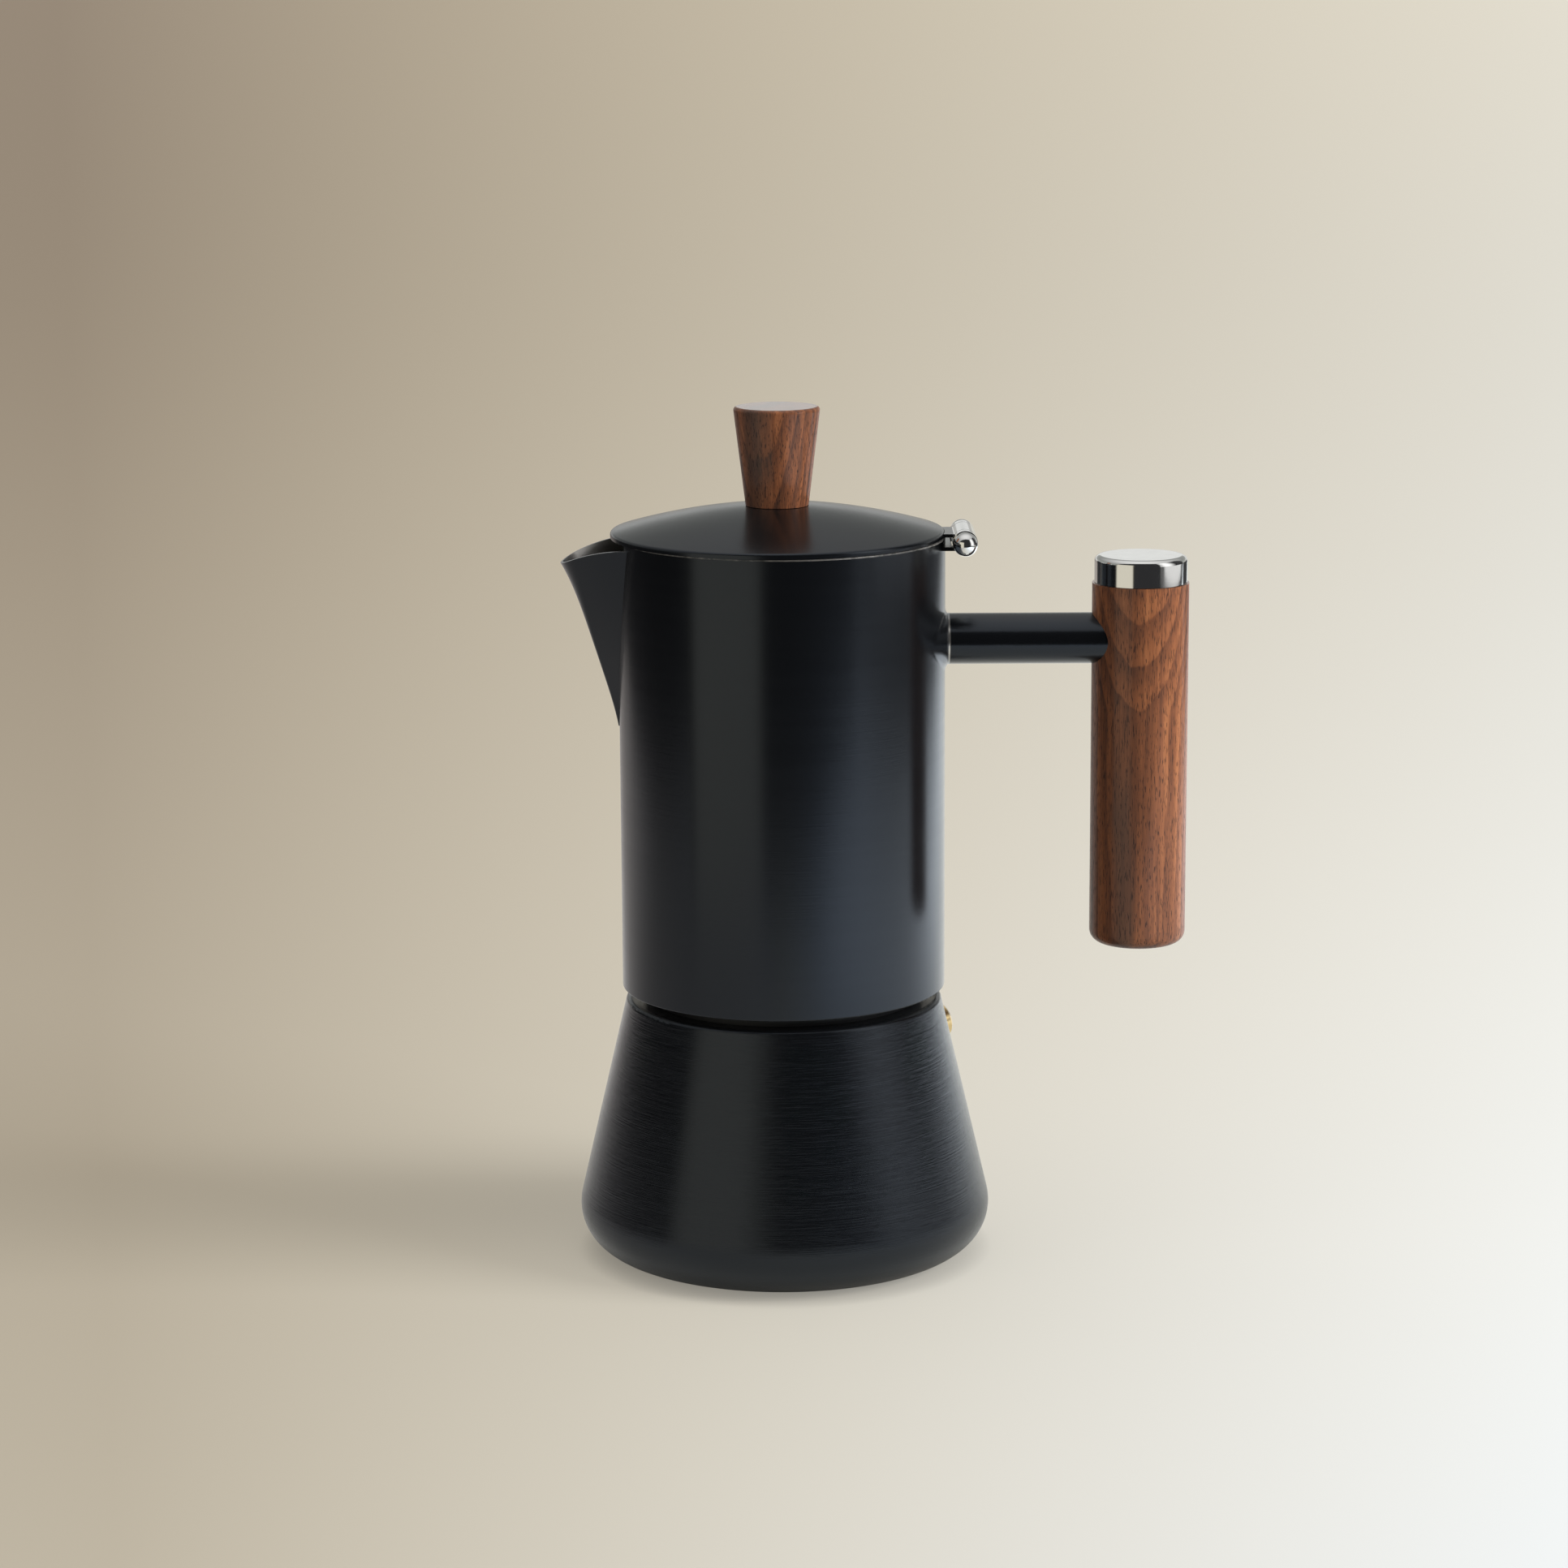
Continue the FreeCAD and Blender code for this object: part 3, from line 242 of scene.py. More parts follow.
def painted_steel(name, bare=None, brushing=PAINT_BRUSHING, fineness=(45, 45, 3400)):
    """Satin black paint over finely brushed steel, left bare where the mask is 1."""
    shader = Shader(name)
    lines = shader.drawn_noise(fineness, 3.0, 0.65)
    streaks = shader.drawn_noise((14, 14, 620), 2.0)
    cloud = shader.noise(shader.place, 30.0, 3.0)
    paint_rough = 0.16 + 0.05 * cloud + 0.05 * streaks
    if bare is None:
        return shader.finish(
            Base_Color=shader.mix(cloud, (0.0030, 0.0033, 0.0042), (0.0038, 0.0043, 0.0052)),
            Roughness=paint_rough,
            Normal=shader.bump(lines, brushing, 0.5),
            **PAINT_GLOSS,
        )
    mask = bare(shader)
    return shader.finish(
        Base_Color=shader.mix(mask, PAINT_COLOUR, STEEL_COLOUR),
        Metallic=mask,
        Roughness=paint_rough + mask * (0.06 + 0.14 * lines),
        Normal=shader.bump(lines, brushing, 0.5),
        **PAINT_GLOSS,
    )


def inner_side(shader, start, end):
    """Goes from 0 to 1 where a surface faces the pot's axis."""
    outward = shader.axis("X") * shader.facing("X") + shader.axis("Y") * shader.facing("Y")
    return shader.step(outward, start, end)


def bare_at_rim_and_inside(shader):
    """The chamber's inner side is bare, and so is the cut edge of its rim in worn patches."""
    inside = inner_side(shader, -0.004, -0.012)
    cut = shader.step(shader.axis("Z"), RIM_Z - 0.42 * MM, RIM_Z - 0.25 * MM)
    scuffs = shader.drawn_noise((500, 500, 900), 3.0, 0.7)
    runs = shader.noise(shader.place, 26.0, 1.0)
    worn = shader.step(scuffs * 0.5 + runs, 0.62, 0.86)
    return inside.math("MAXIMUM", cut * (0.03 + 0.42 * worn))


def bare_inside_boiler(shader):
    """The boiler's inner side and the top of its floor are bare."""
    inside = inner_side(shader, -0.002, -0.008)
    floor = shader.step(shader.facing("Z"), 0.3, 0.6) * shader.step(shader.axis("Z"), 0.05, 0.04)
    return inside.math("MAXIMUM", floor)


def bare_inside_spout(shader):
    """The spout's channel and the cut edge of its sheet are bare."""
    side = shader.axis("Y").math("SIGN")
    outward = shader.facing("Y") * side - shader.facing("X")
    return shader.step(outward, 0.05, -0.05)


def bare_under_lid(shader):
    """The lid's underside is bare."""
    return shader.step(shader.facing("Z"), -0.2, -0.5)


def bare_at_seam(shader):
    """A thin bare ring where the tube meets the drawn boss."""
    return shader.step(shader.axis("X"), TUBE_X + 0.5 * MM, TUBE_X + 0.35 * MM)


def bare_steel(name):
    """Satin stainless steel, a little darker where it is stained."""
    shader = Shader(name)
    lines = shader.drawn_noise((90, 90, 1900), 3.0, 0.6)
    stain = shader.noise(shader.place, 55.0, 4.0)
    stained = tuple(0.86 * part for part in STEEL_COLOUR)
    return shader.finish(
        Base_Color=shader.mix(shader.step(stain, 0.3, 0.75), STEEL_COLOUR, stained),
        Metallic=1.0,
        Roughness=0.20 + 0.12 * lines + 0.08 * stain,
        Normal=shader.bump(lines, STEEL_BRUSHING, 0.4),
    )


def neck_steel_painted_shade(name):
    """Bare thread above; its foot has the boiler's black paint colour as painted shade for the
    dark gap under the chamber.
    """
    shader = Shader(name)
    lines = shader.drawn_noise((90, 90, 1900), 3.0, 0.6)
    # Painted shade: the neck is black up to just above the chamber's foot, where the gap lies in
    # shadow.
    edge = CHAMBER_FOOT_Z + 0.6 * MM
    mask = shader.step(shader.axis("Z"), edge - 0.2 * MM, edge)
    return shader.finish(
        Base_Color=shader.mix(mask, PAINT_COLOUR, STEEL_COLOUR),
        Metallic=mask,
        Roughness=0.5 - 0.28 * mask + 0.12 * lines,
        Normal=shader.bump(lines, STEEL_BRUSHING, 0.4),
    )


def polished_steel(name):
    """Mirror-polished stainless steel with faint buffing marks."""
    shader = Shader(name)
    haze = shader.noise(shader.place, 320.0, 4.0)
    marks = shader.drawn_noise((300, 300, 5200), 3.0, 0.6)
    return shader.finish(
        Base_Color=MIRROR_COLOUR,
        Metallic=1.0,
        Roughness=0.04 + 0.05 * haze + 0.03 * marks,
        Normal=shader.bump(marks, 0.004 * MM, 0.3),
    )


def hinge_steel(name):
    """Polished barrel; the leaf that carries it is black and satin like the pot's paint, up to the
    barrel.
    """
    shader = Shader(name)
    haze = shader.noise(shader.place, 320.0, 4.0)
    barrel = HINGE_X - 2.6 * MM
    mask = shader.step(shader.axis("X"), barrel - 0.3 * MM, barrel)
    return shader.finish(
        Base_Color=shader.mix(mask, PAINT_COLOUR, BARREL_COLOUR),
        Metallic=mask,
        Roughness=0.16 - 0.11 * mask + 0.05 * haze,
    )


def brass(name):
    """Pale turned brass, a little duller in patches."""
    shader = Shader(name)
    haze = shader.noise(shader.place, 400.0, 3.0)
    return shader.finish(
        Base_Color=shader.mix(haze, (0.86, 0.68, 0.36), (0.70, 0.50, 0.24)),
        Metallic=1.0,
        Roughness=0.18 + 0.16 * haze,
    )


def silicone(name):
    """Milky silicone with a dusty bloom."""
    shader = Shader(name)
    haze = shader.noise(shader.place, 900.0, 3.0)
    return shader.finish(
        Base_Color=shader.mix(haze, (0.74, 0.72, 0.67), (0.66, 0.63, 0.57)),
        Roughness=0.45 + 0.15 * haze,
        Subsurface_Weight=0.15,
        Subsurface_Scale=2 * MM,
    )


WOOD_TONES = [
    (0.0, (0.360, 0.138, 0.056)),
    (0.30, (0.252, 0.090, 0.037)),
    (0.62, (0.158, 0.057, 0.026)),
    (1.0, (0.066, 0.029, 0.018)),
]
STREAK_COLOUR = (0.060, 0.037, 0.028)
PORE_COLOUR = (0.022, 0.012, 0.010)
RING_WIDTH = 2.1 * MM
PITH_ACROSS, PITH_DEPTH = 2.8 * MM, 30 * MM


def walnut(name, x, arch_z, streak, spin=0.0, darkness=0.27):
    """Oiled walnut about a vertical axis at x.

    Its rings are shells about a pith behind the piece. Above arch_z the pith leans, so that
    the shells cut the turned side in nested arches; below it the grain runs straight, with
    one dark streak at the given (across, highest z). The end grain on top is lacquered.
    """
    shader = Shader(name)
    place = shader.mapped(location=(-x, 0, 0))
    if spin:
        place = shader.mapped(rotation=(0, 0, spin), source=place)
    across, depth, up = (shader.axis(part, place) for part in "XYZ")
    wander = shader.drawn_noise((70, 70, 16), 3.0, 0.6, place) - 0.5
    drift = shader.drawn_noise((0, 0, 30), 2.0, source=place) - 0.5
    cords = shader.drawn_noise((330, 330, 9), 4.0, 0.6, place)
    fibre = shader.drawn_noise((1700, 1700, 60), 3.0, 0.6, place)
    tone = shader.drawn_noise((90, 90, 14), 2.0, source=place)
    dashes = shader.drawn_noise((4300, 4300, 430), 1.0, source=place)
    pores = shader.step(dashes, 0.56, 0.66)

    lean = (up - arch_z).over(0.0) * 0.19 + up * 0.012
    aside, behind = across - PITH_ACROSS, depth - PITH_DEPTH
    rings = (aside * aside + behind * behind).math("SQRT") + lean + 2.4 * MM * wander
    phase = (rings / RING_WIDTH).math("FRACT")
    late = shader.step(phase, 0.15, 0.92) * shader.step(phase, 1.0, 0.93)

    streak_across, streak_top = streak
    off_streak = abs(across - streak_across + 4 * MM * drift + 3 * MM * wander)
    band = shader.step(off_streak, 3.4 * MM, 1.0 * MM)
    band = band * shader.step(up, streak_top, streak_top - 20 * MM)

    share = darkness + 1.3 * (cords - 0.5) + 0.8 * (fibre - 0.5) + 0.7 * (tone - 0.5)
    wood = shader.ramp(WOOD_TONES, share + 0.36 * late)
    wood = shader.mix(0.62 * band, wood, STREAK_COLOUR)
    end_grain = shader.step(shader.facing("Z"), 0.90, 0.97)
    return shader.finish(
        Base_Color=shader.mix(pores * 0.76, wood, PORE_COLOUR),
        Roughness=0.40 + 0.14 * fibre + 0.2 * pores,
        Normal=shader.bump(fibre - 1.2 * pores, 0.05 * MM, 0.35),
        Coat_Weight=0.22 + 0.78 * end_grain,
        Coat_Roughness=0.12,
        Coat_IOR=1.6,
        Specular_IOR_Level=0.32,
    )


SLOT_FINISHES = {
    "black_paint": painted_steel("satin_black_paint"),
    "bare_steel": bare_steel("satin_steel"),
    "polished_steel": polished_steel("polished_steel"),
    "brass": brass("brass"),
    "silicone": silicone("silicone"),
}
NODE_FINISHES = {
    "chamber": painted_steel("chamber_paint", bare_at_rim_and_inside),
    "boiler": painted_steel("boiler_paint", bare_inside_boiler, BOILER_BRUSHING, (36, 36, 6200)),
    "spout": painted_steel("spout_paint", bare_inside_spout),
    "lid": painted_steel("lid_paint", bare_under_lid),
    "handle_tube": painted_steel("tube_paint", bare_at_seam),
    "hinge_leaf": hinge_steel("hinge_leaf_steel"),
    "hinge_bracket": hinge_steel("hinge_bracket_steel"),
    "boiler_neck": neck_steel_painted_shade("neck_steel_painted_shade"),
    "grip": walnut(
        "grip_walnut", GRIP_X, GRIP_TOP_Z - 31 * MM, (-4.6 * MM, GRIP_TOP_Z - 40 * MM)
    ),
    "knob": walnut(
        "knob_walnut", KNOB_X, LID_SEAT_Z + 50 * MM, (-3.0 * MM, LID_SEAT_Z + 40 * MM),
        spin=0.4, darkness=0.41,
    ),
}


def finish_nodes():
    """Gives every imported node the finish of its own, or else of its slot."""
    for part in frame["record"]["subparts"]:
        finish = NODE_FINISHES.get(part["node"]) or SLOT_FINISHES[part["material_slot"]]
        mesh = frame["nodes"][part["node"]].data
        mesh.materials.clear()
        mesh.materials.append(finish)


# ---------------------------------------------------------------- turned and wound pieces

NECK_FLANGE = 1.8 * MM
NECK_WALL = 2.4 * MM
COLLAR_WALL = 2 * MM
THREAD_GAP = 0.3 * MM
NECK_RADIUS = high("boiler_neck").x - NECK_FLANGE
NECK_BORE = NECK_RADIUS - NECK_WALL
COLLAR_BORE = NECK_RADIUS + THREAD_GAP
THREAD_PITCH = 1.5 * MM
THREAD_DEPTH = 0.75 * MM
THREAD_TURNS = 5
THREAD_SINK = 0.1 * MM
TURN_STEPS = 144
BALL_RADIUS = 3 * MM
SAME_PLACE = 1e-7


def ridge(form, root, crest, foot, turns=THREAD_TURNS):
    """One thread ridge with chamfered flanks, wound upwards and closed at both ends."""
    wide, narrow = 0.36 * THREAD_PITCH, 0.14 * THREAD_PITCH
    corners = [(root, -wide), (crest, -narrow), (crest, narrow), (root, wide)]
    verts = [form.verts.new((radius, 0, foot + up)) for radius, up in corners]
    edges = [form.edges.new((verts[i], verts[i - 1])) for i in range(4)]
    steps = int(turns * TURN_STEPS)
    bmesh.ops.spin(
        form, geom=verts + edges, cent=(0, 0, 0), axis=(0, 0, 1), use_merge=False,
        angle=math.tau * turns, steps=steps, dvec=(0, 0, THREAD_PITCH * turns / steps),
    )
    ends = [edge for edge in form.edges if edge.is_boundary]
    bmesh.ops.holes_fill(form, edges=ends, sides=4)


def turned_ring(form, profile):
    """A closed profile of (radius, height) turned once round the pot's axis."""
    verts = [form.verts.new((radius, 0, up)) for radius, up in profile]
    edges = [form.edges.new((verts[i], verts[i - 1])) for i in range(len(verts))]
    bmesh.ops.spin(
        form, geom=verts + edges, cent=(0, 0, 0), axis=(0, 0, 1), use_merge=True,
        angle=math.tau, steps=TURN_STEPS,
    )


def finished_piece(name, form, node, body, finish, smooth=False):
    """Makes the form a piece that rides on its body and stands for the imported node."""
    bmesh.ops.remove_doubles(form, verts=form.verts[:], dist=SAME_PLACE)
    bmesh.ops.recalc_face_normals(form, faces=form.faces[:])
    for face in form.faces:
        face.smooth = smooth and len(face.verts) < 5
    mesh = bpy.data.meshes.new(name)
    form.to_mesh(mesh)
    form.free()
    mesh.materials.append(finish)
    piece = bpy.data.objects.new(name, mesh)
    bpy.context.scene.collection.objects.link(piece)
    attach(piece, body)
    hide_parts(node)
    return piece


def make_ball_ends():
    """Turned ball ends with a flat beside the outer knuckles."""
    flat = high("hinge_bracket").y + 0.1 * MM
    middle = centre("pin_balls")
    reach = high("pin_balls").y - (high("pin_balls").z - low("pin_balls").z) / 2
    form = bmesh.new()
    for side in (1, -1):
        ball = bmesh.ops.create_uvsphere(
            form, u_segments=48, v_segments=32, radius=BALL_RADIUS,
            matrix=Matrix.Translation((middle.x, side * reach, middle.z))
            @ Matrix.Rotation(math.pi / 2, 4, "X"),
        )["verts"]
        faces = {face for vert in ball for face in vert.link_faces}
        edges = {edge for vert in ball for edge in vert.link_edges}
        cut = bmesh.ops.bisect_plane(
            form, geom=[*ball, *edges, *faces], dist=SAME_PLACE, plane_co=(0, side * flat, 0),
            plane_no=(0, side, 0), clear_inner=True,
        )["geom_cut"]
        rim = [part for part in cut if isinstance(part, bmesh.types.BMEdge)]
        bmesh.ops.holes_fill(form, edges=rim, sides=0)
    finished_piece(
        "ball_ends", form, "pin_balls", "chamber",
        SLOT_FINISHES["polished_steel"], smooth=True,
    )


def make_valve_spring():
    """A round-wire coil along the valve, spanning the imported spring."""
    joint = next(j for j in frame["record"]["behaviour"]["joints"] if j["name"] == "valve_pop")
    axis = Vector(joint["axis"]).normalized()
    middle = centre("valve_stem")
    lengths = [
        (vert.co - middle).dot(axis) for vert in frame["nodes"]["valve_spring"].data.vertices
    ]
    wire, coil_radius = 0.25 * MM, 2 * MM
    foot, top = min(lengths) + wire, max(lengths) - wire
    turns, steps = 5, 180
    form = bmesh.new()
    upright = axis.to_track_quat("Z", "Y").to_matrix().to_4x4()
    bmesh.ops.create_circle(
        form, segments=10, radius=wire,
        matrix=Matrix.Translation(middle) @ upright @ Matrix.Translation((coil_radius, 0, foot))
        @ Matrix.Rotation(math.pi / 2, 4, "X"),
    )
    bmesh.ops.spin(
        form, geom=form.verts[:] + form.edges[:], cent=middle, axis=axis, use_merge=False,
        angle=math.tau * turns, steps=steps, dvec=axis * (top - foot) / steps,
    )
    bmesh.ops.holes_fill(form, edges=[e for e in form.edges if e.is_boundary], sides=0)
    piece = finished_piece(
        "spring_coil", form, "valve_spring", "base", SLOT_FINISHES["bare_steel"],
        smooth=True,
    )
    span = top - foot + 2 * wire
    lift = joint["range_m"][1]
    middle + axis * (top + wire)
    1 - lift / span
    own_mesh(piece)


def make_neck_thread():
    """The neck ring with its outer thread, cut below the sealing rim."""
    foot, top = low("boiler_neck").z, high("boiler_neck").z
    flange_radius, flange_top = NECK_RADIUS + NECK_FLANGE, foot + 2 * MM
    plain_top = foot + 7 * MM
    root = NECK_RADIUS - THREAD_DEPTH
    chamfer = 0.3 * MM
    form = bmesh.new()
    ridge(form, root - THREAD_SINK, NECK_RADIUS, plain_top + 1.6 * MM)
    turned_ring(form, [
        (NECK_BORE, foot), (flange_radius, foot), (flange_radius, flange_top),
        (NECK_RADIUS, flange_top), (NECK_RADIUS, plain_top), (root, plain_top + 0.6 * MM),
        (root, top - chamfer), (root - chamfer, top), (NECK_BORE + chamfer, top),
        (NECK_BORE, top - chamfer),
    ])
    finished_piece(
        "neck_thread", form, "boiler_neck", "base", NODE_FINISHES["boiler_neck"]
    )


def make_collar_thread():
    """The chamber's collar with its inner thread."""
    foot, top = low("chamber_collar").z, high("chamber_collar").z
    flange_radius, flange_top = high("chamber_collar").x, foot + 1.5 * MM
    plain_foot = top - 1.6 * MM
    outside, root = COLLAR_BORE + COLLAR_WALL, COLLAR_BORE + THREAD_DEPTH
    chamfer = 0.4 * MM
    form = bmesh.new()
    ridge(form, root + THREAD_SINK, COLLAR_BORE, foot + 1.9 * MM)
    turned_ring(form, [
        (COLLAR_BORE + chamfer, foot), (flange_radius, foot), (flange_radius, flange_top),
        (outside, flange_top), (outside, top), (COLLAR_BORE, top), (COLLAR_BORE, plain_foot),
        (root, plain_foot - 0.6 * MM), (root, foot + 1.0 * MM), (COLLAR_BORE, foot + chamfer),
    ])
    finished_piece(
        "collar_thread", form, "chamber_collar", "chamber",
        SLOT_FINISHES["bare_steel"],
    )


# ---------------------------------------------------------------- studio

FLOOR_SIZE = 80.0
PAPER_COLOUR = (0.24, 0.225, 0.19)
BACKDROP_COLOUR = (0.55, 0.50, 0.42)
ROOM_COLOUR = (0.40, 0.385, 0.36)
MIRRORED_ROOM = [
    (0.0, (0.55, 0.54, 0.51)), (0.06, (0.52, 0.52, 0.50)), (0.16, (0.43, 0.44, 0.42)),
    (0.26, (0.34, 0.35, 0.335)), (0.40, (0.285, 0.293, 0.283)), (0.70, (0.50, 0.50, 0.50)),
    (1.0, (0.90, 0.90, 0.90)),
]

# The paper's glow is a painted pool of the window's light: its tone beside the pot, brighter and
# cooler towards the window on the right and towards the viewer. Sideways it goes by the bearing
# from the viewer.
VIEWER_AWAY = 1.08
NEAREST = -0.35
PAPER_TONE = (0.416, 0.396, 0.349)
RIGHTWARD = (0.97, 1.16, 1.35)
RIGHTWARD_BOW = (-0.79, -0.31, 0.69)
NEARER = (0.03, 0.07, 0.12)
NEARER_RIGHT = (-0.46, -0.29, 0.09)
NEAR_BOW = 0.066
LEFTMOST, RIGHTMOST = -0.163, 0.24
GLARE_FROM, GLARE_RISE = 0.19, 2.6

# Outside the front view the paper has one plain glow.
VIEW_EDGE, VIEW_FADE = 0.197, 0.073
PLAIN_GLOW = (0.27, 0.25, 0.21)

# As a painted reflection, the paper seen in reflections is a little cooler, more so on the left,
# and brighter, more so behind the pot.
MIRRORED_TINT = (0.945, 1.0, 1.07)
MIRRORED_LEFT_TINT = (-0.03, 0.06, 0.45)

SHADOW_MIDDLE, SHADOW_HALF_WIDTH = 0.036, 0.082
CONTACT_REACH = 6 * MM


def stage_mesh(name, form, material):
    mesh = bpy.data.meshes.new(name)
    form.to_mesh(mesh)
    form.free()
    mesh.materials.append(material)
    item = bpy.data.objects.new(name, mesh)
    bpy.context.scene.collection.objects.link(item)
    return item


def painted_window_light(shader, across, away):
    """The paper's painted glow in red, green and blue, with a painted glare towards the right."""
    bearing = across / away
    side = bearing.over(LEFTMOST).under(RIGHTMOST)
    near = 1.0 / away - 1.0 / VIEWER_AWAY
    # Painted glare: a highlight painted on the paper towards the right.
    painted_glare = GLARE_RISE * (bearing - GLARE_FROM).over(0.0).under(0.2)
    painted_glare = painted_glare * shader.step(across, 0.52, 0.34)
    return [
        (
            tone + (rightward + bow * side) * side
            + (nearer + nearer_right * side + NEAR_BOW * near) * near + painted_glare
        ).over(0.0)
        for tone, rightward, bow, nearer, nearer_right in zip(
            PAPER_TONE, RIGHTWARD, RIGHTWARD_BOW, NEARER, NEARER_RIGHT
        )
    ]


def painted_soft_shadow(shader, across, along):
    """How dark the pot's painted shadow is, on the left of its foot, taken off the paper's glow.
    """
    shadow = shader.step(abs(along - SHADOW_MIDDLE), SHADOW_HALF_WIDTH, 0.0)
    shadow = shadow * shader.step(across, 0.03, -0.04)
    return shadow * (0.11 + 0.17 * shader.step(across, -0.22, -0.05))


def make_floor():
    """Pale paper whose glow paints the window's light in the front view, with a painted shadow and
    contact shade by the pot, and a plain glow elsewhere.
    """
    shader = Shader("paper")
    across, along = shader.axis("X"), shader.axis("Y")
    away = along.over(NEAREST) + VIEWER_AWAY
    bearing = across / away
    lit = shader.step(abs(bearing), VIEW_EDGE + VIEW_FADE, VIEW_EDGE)
    lit = lit * shader.step(along, -0.42, -0.23)
    left = shader.step(bearing, 0.0, LEFTMOST)
    behind = shader.step(along, 0.0, 0.30) * shader.step(along, 1.1, 0.5)
    # Painted contact shade: occlusion darkens the paper's glow, and its reflections, right under
    # the pot's foot.
    painted_contact_shade = shader.add(
        "ShaderNodeAmbientOcclusion", {"samples": 4}, Distance=CONTACT_REACH, output="AO"
    )
    seen = shader.ray("Is Camera Ray") + shader.ray("Is Transmission Ray")
    seen = seen * (1.0 - painted_soft_shadow(shader, across, along)) * (0.62 + 0.38 * painted_contact_shade)
    # Painted reflection: the paper seen in the pot is brighter than seen directly, more so behind
    # it.
    mirrored = shader.ray("Is Glossy Ray") * (1.12 + 0.9 * behind) * painted_contact_shade
    glow = [
        light * (mirrored * (cool + cooler * left) + seen * lit) + plain * seen * (1.0 - lit)
        for light, plain, cool, cooler in zip(
            painted_window_light(shader, across, away), PLAIN_GLOW, MIRRORED_TINT, MIRRORED_LEFT_TINT
        )
    ]
    form = bmesh.new()
    bmesh.ops.create_grid(form, x_segments=1, y_segments=1, size=FLOOR_SIZE / 2)
    stage_mesh(
        "floor", form,
        shader.finish(
            Base_Color=PAPER_COLOUR, Roughness=0.9, Specular_IOR_Level=0.1,
            Emission_Color=shader.colour(*glow), Emission_Strength=1.0,
        ),
    )


def card_edges(shader, start, end, foot, soft, soft_foot):
    """Fades a card towards both its ends, and towards its foot."""
    start, end = Vector(start), Vector(end)
    run = end - start
    turn = math.atan2(run.y, run.x)
    middle = run.normalized().dot((start + end) / 2)
    turned = shader.mapped(rotation=(0, 0, -turn))
    half = run.length / 2
    share = shader.step(abs(shader.axis("X", turned) - middle), half, half - soft)
    if soft_foot:
        share = shader.step(shader.axis("Z"), foot, foot + soft_foot) * share
    return share


def make_card(name, start, end, foot, top, colour, soft=0.0, soft_foot=0.0):
    """An upright card from start to end, seen only in the pot's reflections."""
    shader = Shader(name)
    share = card_edges(shader, start, end, foot, soft, soft_foot) if soft else 1.0
    form = bmesh.new()
    corners = [(*start, foot), (*end, foot), (*end, top), (*start, top)]
    form.faces.new([form.verts.new(corner) for corner in corners])
    light = [part * share for part in colour]
    card = stage_mesh(
        name, form,
        shader.finish(
            Base_Color=(0, 0, 0), Specular_IOR_Level=0.0, Emission_Strength=1.0,
            Emission_Color=shader.colour(*light),
        ),
    )
    card.visible_camera = card.visible_diffuse = card.visible_shadow = False
    card.visible_transmission = False


def area_lamp(name, place, target, width, height, power, colour=(1, 1, 1)):
    """A soft box that lights the scene and leaves reflections to the cards."""
    lamp = bpy.data.lights.new(name, "AREA")
    lamp.shape = "RECTANGLE"
    lamp.size = width
    lamp.size_y = height
    lamp.energy = power
    lamp.color = colour
    holder = bpy.data.objects.new(name, lamp)
    holder.location = place
    holder.rotation_euler = (Vector(target) - Vector(place)).to_track_quat("-Z", "Y").to_euler()
    holder.visible_glossy = False
    bpy.context.scene.collection.objects.link(holder)


def make_world():
    """Dim room light. The viewer sees the backdrop's own tone, and reflections a darker room."""
    shader = Shader("studio", "worlds")
    bpy.context.scene.world = shader.material
    seen = shader.ray("Is Camera Ray") + shader.ray("Is Glossy Ray")
    seen = (seen + shader.ray("Is Transmission Ray")).under(1.0)
    up = shader.axis("Z", shader.add("ShaderNodeTexCoord", {}, output="Generated"))
    mirrored = shader.ramp(MIRRORED_ROOM, up)
    backdrop = shader.mix(shader.ray("Is Glossy Ray"), BACKDROP_COLOUR, mirrored)
    tone = shader.mix(seen, ROOM_COLOUR, backdrop)
    shader.tree.links.new(tone.socket, shader.tree.nodes["Background"].inputs["Color"])


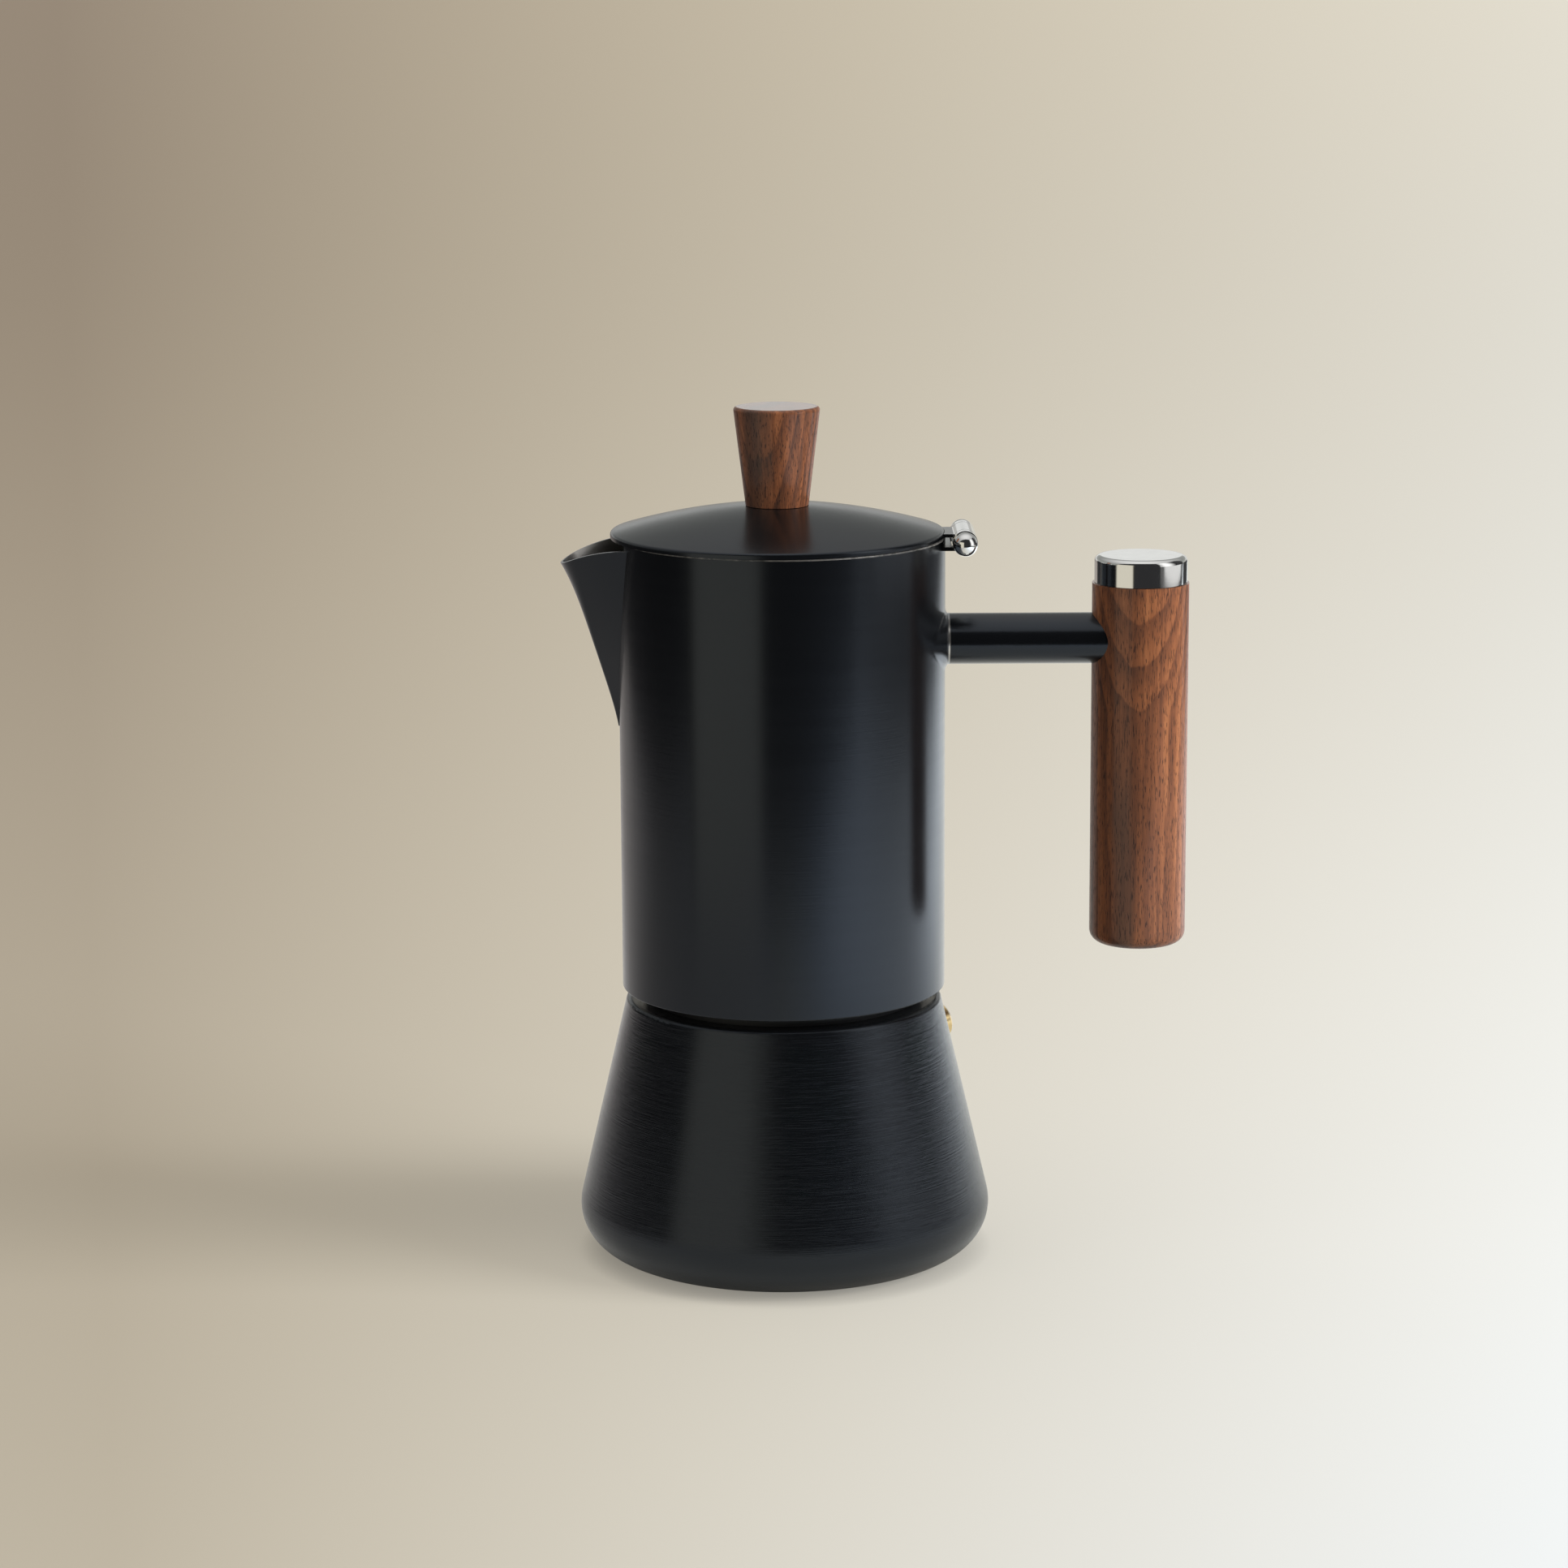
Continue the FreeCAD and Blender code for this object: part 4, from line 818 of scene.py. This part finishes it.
def make_cards():
    """Pale cards place the bright bands on the paint and steel, and flags the dark ones."""
    dark, dim = (0.03, 0.03, 0.032), (0.05, 0.05, 0.052)
    make_card(
        "white_card", (-0.095, -0.49), (-0.453, -0.211), 0.0, 0.42, (0.75, 0.71, 0.60), soft=0.055
    )
    make_card(
        "soft_box", (0.504, -0.604), (0.784, 0.058), 0.04, 0.9, (1.30, 1.30, 1.30),
        soft=0.34, soft_foot=0.14,
    )
    make_card(
        "cap_card", (0.30, -0.18), (0.335, 0.12), 0.137, 0.165, (0.85, 0.85, 0.85), soft=0.05
    )
    make_card("front_flag", (-0.09, -0.48), (1.2, -0.50), 0.0, 1.0, dark)
    make_card("far_front_flag", (-1.2, -0.60), (-0.09, -0.60), 0.0, 1.2, dark)
    make_card("left_flag", (-0.68, -0.6), (-0.58, 0.85), 0.0, 0.30, dark)
    make_card("right_wall", (0.68, -0.50), (0.68, 0.30), 0.0, 0.062, (0.17, 0.17, 0.17))
    make_card("right_flag", (1.05, -0.9), (1.05, 0.60), 0.0, 1.2, dim)
    make_card("back_flag", (0.64, 0.36), (0.60, 1.2), 0.0, 0.20, dim)
    make_card("back_strip", (-1.0, 1.30), (1.0, 1.30), 0.285, 0.395, (0.86, 0.87, 0.855))


def make_lamps():
    """The key is on the right, as the window is; the wide one hangs overhead."""
    area_lamp("key", (0.95, -0.35, 0.50), (0, 0, 0.05), 0.55, 0.55, 14)
    area_lamp("left_fill", (-0.9, -0.6, 0.45), (0, 0, 0.1), 0.6, 0.6, 1.4)
    area_lamp("fill", (0, 0.2, 1.8), (0, 0, 0), 2.2, 2.2, 12, (1.0, 0.96, 0.90))


def make_camera():
    """A long lens in front of the pot, looking a little down at it."""
    pitch = math.radians(11.5)
    roll = math.radians(-0.3)
    distance = 1.1016
    target = Vector((0.00035, 0.0, 0.1212))
    lens = bpy.data.cameras.new("camera")
    lens.lens = 100.0
    lens.sensor_width = 36.0
    holder = bpy.data.objects.new("camera", lens)
    holder.location = target + distance * Vector((0, -math.cos(pitch), math.sin(pitch)))
    turn = Euler((math.pi / 2 - pitch, 0, 0)).to_matrix() @ Matrix.Rotation(roll, 3, "Z")
    holder.rotation_euler = turn.to_euler()
    bpy.context.scene.collection.objects.link(holder)
    bpy.context.scene.camera = holder


# ---------------------------------------------------------------- build

finish_nodes()
make_neck_thread()
make_collar_thread()
make_ball_ends()
make_valve_spring()
make_floor()
make_world()
make_cards()
make_lamps()
make_camera()
bpy.context.scene.view_settings.view_transform = "Standard"
